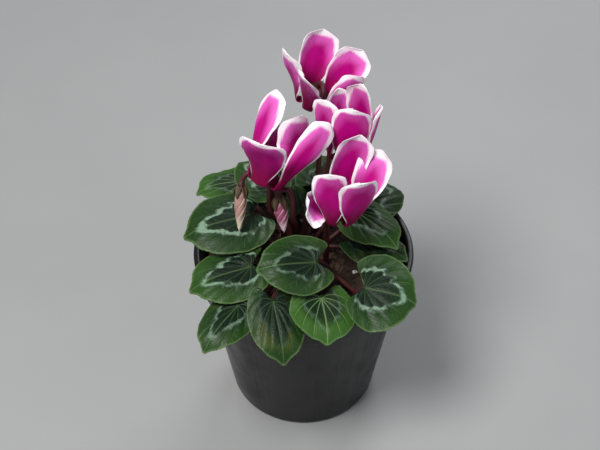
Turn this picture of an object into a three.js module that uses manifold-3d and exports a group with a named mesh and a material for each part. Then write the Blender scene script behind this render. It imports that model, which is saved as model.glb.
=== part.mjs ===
// A miniature cyclamen in its nursery pot, in mm.
// +Z is up, -Y is the front, and the origin is the middle of the pot's underside.
// Every leaf, flower and bud is placed from the middle of the pot's rim.

import * as THREE from 'three';
import { mergeVertices } from 'three/addons/utils/BufferGeometryUtils.js';
import Module from 'manifold-3d';

const wasm = await Module();
wasm.setup();

// ---------------------------------------------------------------- driving dimensions

const GAP = 0.3; // clearance between pieces that rest on or stand in each other

// Pot
const POT_HEIGHT = 78;
const RIM_RADIUS = 45;
const RIM_BAND = 9; // height of the stiff band under the rim
const RIM_STEP = 1.8; // how far the band stands out from the wall
const BASE_RADIUS = 31;
const WALL = 1.2;
const FLOOR_LIFT = 2.5; // the outer ring of the floor stands this far above the surface
const FOOT_RADIUS = 22; // radius of the flat disc that the pot stands on
const DRAIN_HOLES = 8;
const DRAIN_RADIUS = 2.4;
const DRAIN_CIRCLE = 26.5;
const POT_SIDES = 32;
// Sections, each point given as [in from the base or rim radius, up or down from its edge]
const FOOT_SLOPE = 1.5; // the raised ring of the floor starts this far outside the foot
const FOOT_FILLET = 2; // and inside, where the floor comes back down
const HEEL_SECTION = [[3, FLOOR_LIFT], [2, 0], [0.5, 0]];
const HEEL_CHAMFER = 1.5;
const BAND_SLOPE = 1;
const RIM_SECTION = [[0.4, 2], [0, 1.4], [0, 0.5], [0.5, 0], [2.2, 0], [2.9, 1]];

// Potting soil and tuber
const SOIL_DROP = 9; // soil surface below the rim
const SOIL_SIDES = 30;
const SOIL_RELIEF = 0.9;
const SOIL_EDGE = [[0.3, 2], [0.8, 0]]; // in from the wall, down from the surface
const SOIL_RINGS = [[33, 0.6], [27, 0.2], [21, 0.6], [0, 0.6]]; // radius, height over the surface
const TUBER_RADIUS = 18;
const TUBER_RISE = 7; // top of the tuber above the soil
const TUBER_DEPTH = 12; // bottom of the tuber below the soil
const TUBER_SIDES = 20;
const TUBER_BELT = 3; // its widest ring lies this far below the soil surface
const TUBER_LEVELS = [-1, -0.8, -0.4, 0, 0.4, 0.75, 0.93, 1]; // rings, from bottom to top
const TUBER_SQUARENESS = 2.6;

// Stalks: each stands in its own hole in the crown of the tuber
const LEAF_STALK_RADIUS = 1.05;
const FLOWER_STALK_RADIUS = 1.2;
const STALK_SIDES = 6;
const HOLE_DEPTH = 3;
const SPOT_SPACING = 2.35; // the n-th stalk stands at this times the root of n
const FIRST_SPOT = 0.6; // and n starts here
const GOLDEN_ANGLE = Math.PI * (3 - Math.sqrt(5));
const CROWN_TURN = 4.16; // turn of the whole crown, in radians

// Leaf blades
const BLADE_THICKNESS = 0.8;
const BLADE_SECTORS = 24;
const BLADE_RINGS = [0.36, 0.7, 1];
const BLADE_BOW = 2.4; // rise of the midrib between stalk and tip
const BLADE_DROOP = 2.6; // fall from the midrib to the side margins
const BOW_SHAPE = { behind: 3, before: 6.75 }; // of the midrib on either side of the stalk
const BLADE_WAVE = 0.5;
const BLADE_WAVES = 5;
const TOOTH = 0.006; // scallop of the margin, as a share of the blade
const OUTLINE = { centre: 0.26, length: 0.67, point: 0.07, notch: 0.37 }; // shares of the reach
const POINT_ANGLE = 0.2; // half-width of the drawn-out tip, in radians
const NOTCH_ANGLE = 0.38; // and of the notch where the stalk joins
const FUNNEL = { depth: 0.7, radius: 5 }; // the dimple over the stalk
const BLADE_REACH = 25; // the reach that the bow and the droop are given for

// Blooms: a short tube with its mouth down, and five petals folded back over it
const PETAL_THICKNESS = 0.8;
const PETAL_STATIONS = 8;
const PETAL_COLUMNS = 4;
const PETAL_CUP = 0.16; // how far the margins bend in, as a share of the width
const CUP_START = 3; // the cup is whole at one over this of the length
const PETAL_WAVE = 0.5;
const WAVE_TURNS = { along: 9, across: 1.5 }; // radians of the wave over the length and the width
const TURN_SPAN = { from: 0.15, over: 0.5 }; // shares of the length in which a petal turns
const PETAL_FLARE = 0.35; // how far the petals lean out as they rise from the fold
const PETAL_BOW = 0.8; // and how far they curve back in at the tip
const PETAL_WIDTHS = [ // share of the length, share of the full width
  [0, 0.32], [0.12, 0.33], [0.24, 0.42], [0.36, 0.66], [0.5, 0.88],
  [0.66, 0.98], [0.82, 1], [0.93, 0.85], [1, 0.42],
];
const CLAW = [[-1, 1.2], [0.3, -0.6], [1.9, -0.7]]; // the petal's foot: out from the mouth, and up
const PETAL_KNOTS = 6; // spans of the petal's middle line past the fold
const MOUTH_RADIUS = 4.3;
const TUBE_HEIGHT = 5.2;
const TUBE_WALL = 1;
const TUBE_SHOULDER = [[1.4, 0], [0.3, 1.5]]; // in from the mouth's radius, down from the closed end
const TUBE_DEPTH = 2; // the inside narrows from here, below the closed end
const FOLD_RADIUS = 7.2; // where the petals have turned upward
const FOLD_RISE = 0.8;
const CALYX_RADIUS = 3;
const CALYX_MARGIN = 0.3; // how much wider than its bud a calyx is
const CALYX_HEIGHT = 2;
const CALYX_RINGS = [ // height and radius as shares, and the relief of the five sepals
  [0.01, 0.72, 0.3],
  [0.45, 0.7, 0.12],
];
const CALYX_NECK = 0.9; // share of the stalk's radius

// Buds
const BUD_SIDES = 10;
const BUD_TWIST = 1.9; // turn of the furled petals from calyx to tip, in radians
const BUD_LOBE = 0.09; // relief of the furled petals
const BUD_SWELL = [ // share of the length, share of the full radius
  [0, 0], [0.02, 0.62], [0.14, 0.88], [0.32, 1], [0.55, 0.84], [0.78, 0.52], [0.93, 0.24], [1, 0],
];

// Stalks at the blade and at the flower
const LEAF_STALK_RISE = 5; // how far a leaf's stalk grows straight up before it bends
const FLOWER_STALK_RISE = 24;
const STALK_START = 2; // a stalk leaves its hole straight for this much
const STALK_SWEEP = 0.3; // its last bend reaches back over this share of its span
const STALK_KNOTS = [0.2, 0.4, 0.6, 0.8];
const LEAF_STALK_STEPS = 8;
const FLOWER_STALK_STEPS = 16;
const BLADE_CLEARANCE = 2.6 * GAP; // between the end of a stalk and the blade above it
const BLADE_APPROACH = 4.5; // a leaf's stalk meets the blade squarely over this length
const BLOOM_HOOK = 3.5; // radius of the bend at the top of a bloom's stalk
const CALYX_SEAT = 0.6; // the stalk ends in the calyx at this share of its height
const HOOK_DROP = 3; // the bend goes on straight for this much
const HOOK_TAIL = 6; // and then plumb down for this much
const HOOK_TURNS = [0, 45, 90, 135]; // degrees
const HOOK_SEAT = 0.5; // height of the bend's middle over the calyx
const HOOK_SPREAD = 0.2;
const LEAN = { least: 2, share: 0.28, most: 11 }; // how far out on the crown a stalk would stand

// Leaves in view: where the stalk meets the blade, the tip, the width across, and the roll
// about the midrib in degrees. Positions are from the middle of the rim.
const FRONT_LEAVES = [
  { joint: [-26, 31, 9], tip: [-45, 25, 6], width: 20, roll: 0 },
  { joint: [-21, 0.5, 19], tip: [-47.5, -7.5, 12.5], width: 30, roll: -10 },
  { joint: [-21, -20.5, 11], tip: [-44.5, -28.5, 4.5], width: 26, roll: -8 },
  { joint: [-25.5, -35, 4.5], tip: [-38, -53, -3], width: 20, roll: 0 },
  { joint: [-11.5, -38, 10], tip: [-7.4, -58, -4], width: 22, roll: -6 },
  { joint: [4.5, -26.5, 20], tip: [-18, -31, 19.5], width: 25, roll: -21 },
  { joint: [7, -36, 10], tip: [9, -53.5, 2.5], width: 26, roll: -12 },
  { joint: [24, -31.5, 11], tip: [43.5, -35.5, 5.5], width: 34, roll: 14 },
  { joint: [20.5, 5, 17], tip: [37, -12.5, 12.5], width: 22, roll: 0 },
  { joint: [22, -2, 7], tip: [41.5, -11, 4], width: 20, roll: 0 },
  { joint: [-2, 9, 12], tip: [-3.5, 18, 19], width: 10, roll: 0 },
];

// Leaves behind, by rule: how many, and the ring that they stand on
const BACK_RINGS = [
  { count: 5, from: 38, to: 105, joint: 31, reach: 21, rise: 7, step: 5, fall: 5, width: 25 },
  { count: 2, from: 30, to: 140, joint: 17, reach: 20, rise: 24, step: 0, fall: 1, width: 21 },
];
const BACK_LEVELS = 3; // heights that the leaves of a ring take in turn
const STEP_IN = 0.9; // each leaf of a ring that stands higher is nearer to the middle by this share
const BACK_SKEW = 0.3; // spread of their directions, in radians
const BACK_SPREAD = 2; // and of their widths

// Blooms: the middle of the mouth, and the five petal tips in turn, counter-clockwise from
// above, each with its turn about its own length in degrees and its width.
const BLOOMS = [
  {
    mouth: [3.3, 27, 55.5],
    petals: [
      { tip: [22.5, 24, 70], turn: -30, width: 12 },
      { tip: [22.7, 34, 75], turn: 30, width: 15 },
      { tip: [7.5, 45, 77], turn: 0, width: 16 },
      { tip: [-7, 26, 80], turn: 35, width: 13 },
      { tip: [-0.5, 11.5, 80], turn: -25, width: 12 },
    ],
  },
  {
    mouth: [-14.5, -11, 47.5],
    petals: [
      { tip: [9.4, -4, 70.5], turn: -35, width: 11 },
      { tip: [-1, 4.5, 67], turn: -75, width: 16 },
      { tip: [-7, 15, 52], turn: 0, width: 11 },
      { tip: [-10.3, 10.5, 74.5], turn: 45, width: 13 },
      { tip: [-15.5, -21.5, 75.5], turn: 12, width: 18 },
    ],
  },
  {
    mouth: [16.5, 4, 48],
    petals: [
      { tip: [18.3, -3, 76], turn: 0, width: 15 },
      { tip: [29, 2, 73], turn: 15, width: 13 },
      { tip: [21.5, 12, 76], turn: 0, width: 13 },
      { tip: [13, 17, 70], turn: 0, width: 12 },
      { tip: [7.3, 5, 74], turn: 40, width: 12 },
    ],
  },
  {
    mouth: [13.3, -19, 38.5],
    petals: [
      { tip: [9.3, -26, 65], turn: 25, width: 13 },
      { tip: [20.5, -29, 63.5], turn: -25, width: 15 },
      { tip: [29, -7, 60], turn: 35, width: 14 },
      { tip: [21, -6, 66.5], turn: 0, width: 14 },
      { tip: [1, -28, 46], turn: -10, width: 13 },
    ],
  },
];

// Buds: the top, where the bud hangs from its calyx, the way that it points, its size, the
// radius of the bend above it, and how far that bend swings from the way home, in degrees
const BUDS = [
  {
    top: [-24.5, -1, 34],
    point: [-0.05, -0.5, -0.87],
    length: 17,
    radius: 2.4,
    hook: 5.5,
    swing: 0,
  },
  {
    top: [-9.3, -9.7, 36.5],
    point: [0.13, -0.36, -0.92],
    length: 13.5,
    radius: 2.7,
    hook: 2.4,
    swing: -55,
  },
];

// ---------------------------------------------------------------- colours

const FINISH = {
  pot: { color: 0x17181a, roughness: 0.5 },
  soil: { color: 0x3a281c, roughness: 0.97 },
  tuber: { color: 0x5a4030, roughness: 0.9 },
  blade: { color: 0x3d6b3a, roughness: 0.55 },
  stalk: { color: 0x6a2f34, roughness: 0.5 },
  petals: { color: 0xc0187e, roughness: 0.5 },
  bud: { color: 0xd9b6b4, roughness: 0.5 },
};

function finish(name) {
  return new THREE.MeshStandardMaterial({ ...FINISH[name], metalness: 0 });
}

// ---------------------------------------------------------------- helpers

// A repeatable draw from 0 to 1 for the n-th thing that varies
function draw(n) {
  const value = Math.sin(n * 127.1 + 311.7) * 43758.5453;
  return value - Math.floor(value);
}

function vector(values) {
  return new THREE.Vector3(...values);
}

function clamp01(value) {
  return Math.min(1, Math.max(0, value));
}

// Only the positions, with every shared vertex merged
function welded(geometry) {
  const bare = new THREE.BufferGeometry();
  bare.setAttribute('position', geometry.getAttribute('position').clone());
  if (geometry.index) {
    bare.setIndex(geometry.index.clone());
  }
  return mergeVertices(bare, 1e-4);
}

function signedVolume(points, triangles) {
  const [a, b, c] = [new THREE.Vector3(), new THREE.Vector3(), new THREE.Vector3()];
  let volume = 0;
  for (let i = 0; i < triangles.length; i += 3) {
    a.fromArray(points, 3 * triangles[i]);
    b.fromArray(points, 3 * triangles[i + 1]);
    c.fromArray(points, 3 * triangles[i + 2]);
    volume += a.dot(b.cross(c)) / 6;
  }
  return volume;
}

// A closed body from its vertices and triangles, faces pointing out
function closedBody(vertices, triangles) {
  const points = vertices.flatMap((v) => [v.x, v.y, v.z]);
  if (signedVolume(points, triangles) < 0) {
    triangles.reverse();
  }
  const geometry = new THREE.BufferGeometry();
  geometry.setAttribute('position', new THREE.Float32BufferAttribute(points, 3));
  geometry.setIndex(triangles);
  return geometry;
}

function toSolid(geometry) {
  const mesh = welded(geometry);
  return new wasm.Manifold(new wasm.Mesh({
    numProp: 3,
    vertProperties: new Float32Array(mesh.getAttribute('position').array),
    triVerts: new Uint32Array(mesh.index.array),
  }));
}

function toGeometry(solid) {
  const { numProp, vertProperties, triVerts } = solid.getMesh();
  const points = [];
  for (let i = 0; i < vertProperties.length; i += numProp) {
    points.push(vertProperties[i], vertProperties[i + 1], vertProperties[i + 2]);
  }
  const geometry = new THREE.BufferGeometry();
  geometry.setAttribute('position', new THREE.Float32BufferAttribute(points, 3));
  geometry.setIndex(Array.from(triVerts));
  return geometry;
}

function fused(geometries) {
  const [first, ...rest] = geometries.map(toSolid);
  return toGeometry(rest.reduce((whole, part) => whole.add(part), first));
}

function cutAway(geometry, cutters) {
  const whole = toSolid(geometry);
  return toGeometry(cutters.map(toSolid).reduce((rest, cutter) => rest.subtract(cutter), whole));
}

// A body of revolution about Z from a profile of [radius, height] pairs
function turned(profile, sides) {
  const points = profile.map(([r, z]) => new THREE.Vector2(r, z));
  const geometry = new THREE.LatheGeometry(points, sides);
  geometry.rotateX(Math.PI / 2);
  const mesh = welded(geometry);
  const vertices = [];
  for (let i = 0; i < mesh.getAttribute('position').count; i += 1) {
    vertices.push(new THREE.Vector3().fromBufferAttribute(mesh.getAttribute('position'), i));
  }
  const triangles = [];
  for (let i = 0; i < mesh.index.count; i += 3) {
    const [a, b, c] = [mesh.index.getX(i), mesh.index.getX(i + 1), mesh.index.getX(i + 2)];
    if (a !== b && b !== c && c !== a) {
      triangles.push(a, b, c);
    }
  }
  return closedBody(vertices, triangles);
}

// A round bar along a path
function bar(path, radius, sides, steps) {
  const section = new THREE.Shape();
  for (let i = 0; i < sides; i += 1) {
    const angle = (2 * Math.PI * i) / sides;
    const [x, y] = [radius * Math.cos(angle), radius * Math.sin(angle)];
    if (i === 0) {
      section.moveTo(x, y);
    } else {
      section.lineTo(x, y);
    }
  }
  return new THREE.ExtrudeGeometry(section, { steps, extrudePath: path, curveSegments: 1 });
}

// A body of stacked rings along Z, each ring lobed and turned, with a point at both ends
function ringed(rings, sides) {
  const vertices = [new THREE.Vector3(0, 0, rings[0].z)];
  for (const { z, radius, lobe = 0, turn = 0 } of rings.slice(1, -1)) {
    for (let i = 0; i < sides; i += 1) {
      const angle = (2 * Math.PI * i) / sides;
      const r = radius * (1 + lobe * Math.cos(5 * angle));
      vertices.push(new THREE.Vector3(r * Math.cos(angle + turn), r * Math.sin(angle + turn), z));
    }
  }
  vertices.push(new THREE.Vector3(0, 0, rings.at(-1).z));
  const triangles = [];
  const last = vertices.length - 1;
  const bands = rings.length - 3;
  for (let i = 0; i < sides; i += 1) {
    const next = (i + 1) % sides;
    triangles.push(0, 1 + next, 1 + i);
    for (let band = 0; band < bands; band += 1) {
      const low = 1 + band * sides;
      const high = low + sides;
      triangles.push(low + i, low + next, high + next, low + i, high + next, high + i);
    }
    triangles.push(last - sides + i, last - sides + next, last);
  }
  return closedBody(vertices, triangles);
}

function place(mesh, origin, x, y, z) {
  mesh.quaternion.setFromRotationMatrix(new THREE.Matrix4().makeBasis(x, y, z));
  mesh.position.copy(origin);
  return mesh;
}

// ---------------------------------------------------------------- pot, soil and tuber

function wallRadius(z) {
  return BASE_RADIUS + ((RIM_RADIUS - RIM_STEP - BASE_RADIUS) * z) / POT_HEIGHT;
}

function potGeometry() {
  const band = POT_HEIGHT - RIM_BAND;
  const inside = (z) => wallRadius(z) - WALL;
  const shell = turned([
    [0, 0],
    [FOOT_RADIUS, 0],
    [FOOT_RADIUS + FOOT_SLOPE, FLOOR_LIFT],
    ...HEEL_SECTION.map(([r, z]) => [BASE_RADIUS - r, z]),
    [wallRadius(HEEL_CHAMFER), HEEL_CHAMFER],
    [wallRadius(band - BAND_SLOPE), band - BAND_SLOPE],
    [RIM_RADIUS - BAND_SLOPE, band],
    ...RIM_SECTION.map(([r, z]) => [RIM_RADIUS - r, POT_HEIGHT - z]),
    [inside(band), band - 2 * BAND_SLOPE],
    [inside(FLOOR_LIFT + WALL), FLOOR_LIFT + WALL],
    [FOOT_RADIUS, FLOOR_LIFT + WALL],
    [FOOT_RADIUS - FOOT_FILLET, WALL],
    [0, WALL],
  ], POT_SIDES);
  const drains = Array.from({ length: DRAIN_HOLES }, (_, i) => {
    const angle = (2 * Math.PI * (i + 0.5)) / DRAIN_HOLES;
    const hole = new THREE.CylinderGeometry(DRAIN_RADIUS, DRAIN_RADIUS, 4 * FLOOR_LIFT, 8);
    hole.rotateX(Math.PI / 2);
    hole.translate(DRAIN_CIRCLE * Math.cos(angle), DRAIN_CIRCLE * Math.sin(angle), FLOOR_LIFT);
    return hole;
  });
  return cutAway(shell, drains);
}

const SOIL_TOP = POT_HEIGHT - SOIL_DROP;
const TUBER_TOP = SOIL_TOP + TUBER_RISE;

// The tuber's outline, as [radius, height] pairs from its bottom up, grown by a margin
function tuberProfile(margin) {
  const middle = SOIL_TOP - TUBER_BELT;
  const halfHeight = (z) => (z > middle ? TUBER_TOP - middle : middle - SOIL_TOP + TUBER_DEPTH);
  return TUBER_LEVELS.map((level) => {
    const z = middle + level * halfHeight(middle + level);
    const radius = TUBER_RADIUS * Math.sqrt(1 - Math.abs(level) ** TUBER_SQUARENESS);
    return [radius === 0 ? 0 : radius + margin, z + margin * Math.sign(level)];
  });
}

function soilGeometry() {
  const floor = WALL + GAP;
  const shelf = FLOOR_LIFT + WALL + GAP;
  const inside = (z) => wallRadius(z) - WALL - GAP;
  const soil = turned([
    [0, floor],
    [FOOT_RADIUS - FOOT_FILLET - GAP, floor],
    [FOOT_RADIUS - GAP, shelf],
    [inside(shelf), shelf],
    ...SOIL_EDGE.map(([away, down]) => [inside(SOIL_TOP - down) - away, SOIL_TOP - down]),
    ...SOIL_RINGS.map(([radius, rise]) => [radius, SOIL_TOP + rise]),
  ], SOIL_SIDES);
  const position = soil.getAttribute('position');
  for (let i = 0; i < position.count; i += 1) {
    const radius = Math.hypot(position.getX(i), position.getY(i));
    if (position.getZ(i) > SOIL_TOP && radius > TUBER_RADIUS) {
      position.setZ(i, position.getZ(i) + SOIL_RELIEF * (draw(i) - 0.5));
    }
  }
  return cutAway(soil, [turned(tuberProfile(GAP), TUBER_SIDES)]);
}

// The stalks' places on the crown, in the order in which they grew, each [x, y]
function crownSpots(count) {
  return Array.from({ length: count }, (_, n) => {
    const radius = SPOT_SPACING * Math.sqrt(n + FIRST_SPOT);
    const angle = n * GOLDEN_ANGLE + CROWN_TURN;
    return new THREE.Vector3(radius * Math.cos(angle), radius * Math.sin(angle), 0);
  });
}

function crownHeight(spot) {
  const profile = tuberProfile(0).slice(TUBER_LEVELS.indexOf(0));
  const radius = Math.hypot(spot.x, spot.y);
  for (let i = 1; i < profile.length; i += 1) {
    const [outer, low] = profile[i - 1];
    const [inner, high] = profile[i];
    if (radius >= inner) {
      return low + ((high - low) * (outer - radius)) / (outer - inner);
    }
  }
  return TUBER_TOP;
}

function tuberGeometry(stalks) {
  const holes = stalks.map(({ spot, radius }) => {
    const floor = crownHeight(spot) - HOLE_DEPTH - GAP;
    const bore = radius / Math.cos(Math.PI / STALK_SIDES) + GAP;
    const hole = new THREE.CylinderGeometry(bore, bore, TUBER_RADIUS, STALK_SIDES);
    hole.rotateX(Math.PI / 2);
    hole.translate(spot.x, spot.y, floor + TUBER_RADIUS / 2);
    return hole;
  });
  return cutAway(turned(tuberProfile(0), TUBER_SIDES), holes);
}

// ---------------------------------------------------------------- leaves

// A point of the blade's upper face: share 0 is the stalk, 1 the margin, and angle 0 the tip
function bladePoint(leaf, share, angle) {
  const notch = OUTLINE.notch * Math.exp(-(((Math.PI - Math.abs(angle)) / NOTCH_ANGLE) ** 2));
  const point = OUTLINE.point * Math.exp(-((angle / POINT_ANGLE) ** 2));
  const size = share * (1 + TOOTH * share * Math.cos(BLADE_SECTORS * 0.5 * angle));
  const x = leaf.reach * size * (OUTLINE.centre + OUTLINE.length * Math.cos(angle) + point + notch);
  const y = (leaf.width / 2) * size * Math.sin(angle);
  const along = x / leaf.reach;
  const behind = -BOW_SHAPE.behind * along ** 2;
  const bow = along < 0 ? behind : BOW_SHAPE.before * along ** 2 * (1 - along);
  const across = (2 * y) / leaf.width;
  const funnel = FUNNEL.depth * (1 - Math.exp(-((Math.hypot(x, y) / FUNNEL.radius) ** 2)));
  const wave = BLADE_WAVE * share ** 3 * Math.sin(BLADE_WAVES * angle + leaf.phase);
  const scale = leaf.reach / BLADE_REACH;
  const z = scale * (BLADE_BOW * bow - BLADE_DROOP * across ** 2) + funnel + wave;
  return new THREE.Vector3(x, y, z);
}

function bladeGeometry(leaf) {
  const top = [bladePoint(leaf, 0, 0)];
  for (const share of BLADE_RINGS) {
    for (let i = 0; i < BLADE_SECTORS; i += 1) {
      const angle = (2 * Math.PI * i) / BLADE_SECTORS;
      top.push(bladePoint(leaf, share, angle > Math.PI ? angle - 2 * Math.PI : angle));
    }
  }
  const under = top.map((v) => v.clone().setZ(v.z - BLADE_THICKNESS));
  const faces = [];
  for (let i = 0; i < BLADE_SECTORS; i += 1) {
    const next = (i + 1) % BLADE_SECTORS;
    faces.push([0, 1 + i, 1 + next]);
    for (let ring = 1; ring < BLADE_RINGS.length; ring += 1) {
      const inner = 1 + (ring - 1) * BLADE_SECTORS;
      const outer = inner + BLADE_SECTORS;
      faces.push([inner + i, outer + i, outer + next], [inner + i, outer + next, inner + next]);
    }
  }
  const count = top.length;
  const triangles = faces.flatMap(([a, b, c]) => [a, b, c, a + count, c + count, b + count]);
  const margin = count - BLADE_SECTORS;
  for (let i = 0; i < BLADE_SECTORS; i += 1) {
    const a = margin + i;
    const b = margin + ((i + 1) % BLADE_SECTORS);
    triangles.push(a, a + count, b + count, a, b + count, b);
  }
  return closedBody([...top, ...under], triangles);
}

// The blade's own axes: x to the tip, z out of the upper face
function bladeAxes({ joint, tip, roll }) {
  const x = tip.clone().sub(joint).normalize();
  const y = new THREE.Vector3(0, 0, 1).cross(x).normalize();
  y.applyAxisAngle(x, THREE.MathUtils.degToRad(roll));
  return { x, y, z: x.clone().cross(y) };
}

function backLeaves() {
  return BACK_RINGS.flatMap((ring, r) => Array.from({ length: ring.count }, (_, i) => {
    const share = ring.count === 1 ? 0 : i / (ring.count - 1);
    const degrees = ring.from + (ring.to - ring.from) * share;
    const angle = THREE.MathUtils.degToRad(degrees);
    const skew = angle + BACK_SKEW * (draw(20 + 7 * r + i) - 0.5);
    const level = i % BACK_LEVELS;
    const rise = ring.rise + ring.step * level;
    const away = ring.joint - STEP_IN * ring.step * level;
    const joint = [away * Math.cos(angle), away * Math.sin(angle), rise];
    const tip = [
      joint[0] + ring.reach * Math.cos(skew),
      joint[1] + ring.reach * Math.sin(skew),
      rise - ring.fall,
    ];
    return { joint, tip, width: ring.width - BACK_SPREAD * draw(40 + 7 * r + i), roll: 0 };
  }));
}

function leaves() {
  return [...FRONT_LEAVES, ...backLeaves()].map((leaf, i) => {
    const [joint, tip] = [vector(leaf.joint), vector(leaf.tip)];
    const phase = 2 * Math.PI * draw(i);
    return { ...leaf, joint, tip, reach: joint.distanceTo(tip), phase };
  });
}

// ---------------------------------------------------------------- stalks

// From the hole in the crown, straight up out of it and on through the given points
function stalkPath(spot, points, lift) {
  const crown = crownHeight(spot) - POT_HEIGHT;
  const foot = new THREE.Vector3(spot.x, spot.y, crown - HOLE_DEPTH);
  const mouth = new THREE.Vector3(spot.x, spot.y, crown + STALK_START);
  const [first, second] = points;
  const away = first.clone().sub(second).normalize();
  const span = mouth.distanceTo(first);
  const rise = new THREE.CubicBezierCurve3(
    mouth,
    mouth.clone().add(new THREE.Vector3(0, 0, lift)),
    first.clone().add(away.multiplyScalar(span * STALK_SWEEP)),
    first,
  );
  return { foot, mouth, rise, rest: points };
}

function stalkCurve({ foot, mouth, rise, rest }) {
  const inner = STALK_KNOTS.map((t) => rise.getPoint(t));
  return new THREE.CatmullRomCurve3([foot, mouth, ...inner, ...rest], false, 'centripetal');
}

// ---------------------------------------------------------------- blooms and buds

// The axis of a bloom, from its mouth up between its petals, and two directions across it
function bloomAxes(mouth, tips) {
  const z = new THREE.Vector3();
  tips.forEach((tip) => z.add(tip).sub(mouth));
  z.normalize();
  const x = new THREE.Vector3(1, 0, 0).addScaledVector(z, -z.x).normalize();
  return { x, y: z.clone().cross(x), z };
}

// The angle of a direction about the bloom's axis, and the direction at an angle
function azimuth(axes, direction) {
  return Math.atan2(direction.dot(axes.y), direction.dot(axes.x));
}

function radial(axes, angle) {
  return axes.x.clone().multiplyScalar(Math.cos(angle)).addScaledVector(axes.y, Math.sin(angle));
}

// The petals stand evenly round the mouth, turned to suit their tips as well as they can
function firstPetalAngle(axes, mouth, tips) {
  let [sine, cosine] = [0, 0];
  tips.forEach((tip, k) => {
    const angle = azimuth(axes, tip.clone().sub(mouth)) - (2 * Math.PI * k) / tips.length;
    sine += Math.sin(angle);
    cosine += Math.cos(angle);
  });
  return Math.atan2(sine, cosine);
}

// The petal's width at a share of its length, as a share of its full width
function petalWidth(share) {
  const i = PETAL_WIDTHS.findIndex(([at]) => share <= at);
  if (i === 0) {
    return PETAL_WIDTHS[0][1];
  }
  const [[from, low], [to, high]] = [PETAL_WIDTHS[i - 1], PETAL_WIDTHS[i]];
  return low + ((high - low) * (share - from)) / (to - from);
}

// A petal folded back from the mouth at the angle base to its tip
function petalGeometry(axes, mouth, petal, base, seed) {
  const out = radial(axes, base);
  const at = (r, z) => mouth.clone().addScaledVector(out, r).addScaledVector(axes.z, z);
  const fold = at(FOLD_RADIUS, FOLD_RISE);
  const chord = petal.tip.clone().sub(fold);
  const third = chord.length() / 3;
  const up = axes.z.clone().addScaledVector(out, PETAL_FLARE).normalize();
  const blade = new THREE.CubicBezierCurve3(
    fold,
    fold.clone().addScaledVector(up, third),
    petal.tip.clone().addScaledVector(chord.normalize(), -third).addScaledVector(out, PETAL_BOW),
    petal.tip,
  );
  const points = CLAW.map(([r, z]) => at(MOUTH_RADIUS + r, z));
  for (let i = 0; i <= PETAL_KNOTS; i += 1) {
    points.push(blade.getPoint(i / PETAL_KNOTS));
  }
  const middle = new THREE.CatmullRomCurve3(points, false, 'centripetal');
  const rows = [];
  for (let i = 0; i <= PETAL_STATIONS; i += 1) {
    const share = i / PETAL_STATIONS;
    const centre = middle.getPointAt(share);
    const tangent = middle.getTangentAt(share);
    const side = axes.z.clone().cross(out);
    side.addScaledVector(tangent, -side.dot(tangent)).normalize();
    const turnShare = clamp01((share - TURN_SPAN.from) / TURN_SPAN.over);
    side.applyAxisAngle(tangent, THREE.MathUtils.degToRad(petal.turn) * turnShare);
    const face = side.clone().cross(tangent);
    const width = petal.width * petalWidth(share);
    const row = [];
    for (let j = 0; j <= PETAL_COLUMNS; j += 1) {
      const across = (2 * j) / PETAL_COLUMNS - 1;
      const cup = -PETAL_CUP * width * across ** 2 * clamp01(share * CUP_START);
      const phase = WAVE_TURNS.along * share + seed + WAVE_TURNS.across * across;
      const wave = PETAL_WAVE * across ** 2 * share * Math.sin(phase);
      const point = centre.clone().addScaledVector(side, (across * width) / 2);
      row.push({ point: point.addScaledVector(face, cup + wave), face });
    }
    rows.push(row);
  }
  return sheet(rows, PETAL_THICKNESS);
}

// A closed sheet of even thickness from rows of points and the directions that they face
function sheet(rows, thickness) {
  const columns = rows[0].length;
  const flat = rows.flat();
  const above = flat.map(({ point, face }) => point.clone().addScaledVector(face, thickness / 2));
  const below = flat.map(({ point, face }) => point.clone().addScaledVector(face, -thickness / 2));
  const count = flat.length;
  const triangles = [];
  const edge = [];
  for (let i = 0; i + 1 < rows.length; i += 1) {
    for (let j = 0; j + 1 < columns; j += 1) {
      const a = i * columns + j;
      const [b, c, d] = [a + 1, a + columns + 1, a + columns];
      triangles.push(a, b, c, a, c, d);
      triangles.push(a + count, c + count, b + count, a + count, d + count, c + count);
    }
  }
  for (let j = 0; j < columns; j += 1) {
    edge.push(j);
  }
  for (let i = 1; i < rows.length; i += 1) {
    edge.push(i * columns + columns - 1);
  }
  for (let j = columns - 2; j >= 0; j -= 1) {
    edge.push((rows.length - 1) * columns + j);
  }
  for (let i = rows.length - 2; i > 0; i -= 1) {
    edge.push(i * columns);
  }
  edge.forEach((a, k) => {
    const b = edge[(k + 1) % edge.length];
    triangles.push(b, a, a + count, b, a + count, b + count);
  });
  return closedBody([...above, ...below], triangles);
}

// The short tube that the petals grow from, open at the mouth
function tubeGeometry() {
  const shoulder = TUBE_SHOULDER.map(([r, z]) => [MOUTH_RADIUS - r, TUBE_HEIGHT - z]);
  return turned([
    [0, TUBE_HEIGHT],
    ...shoulder,
    [MOUTH_RADIUS, 0],
    [MOUTH_RADIUS - TUBE_WALL, 0],
    [shoulder.at(-1)[0] - TUBE_WALL, TUBE_HEIGHT - TUBE_DEPTH],
    [0, TUBE_HEIGHT - TUBE_WALL],
  ], BUD_SIDES);
}

function budGeometry(bud) {
  return ringed(BUD_SWELL.map(([share, size]) => ({
    z: share * bud.length,
    radius: size * bud.radius,
    lobe: BUD_LOBE,
    turn: BUD_TWIST * share,
  })), BUD_SIDES);
}

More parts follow.
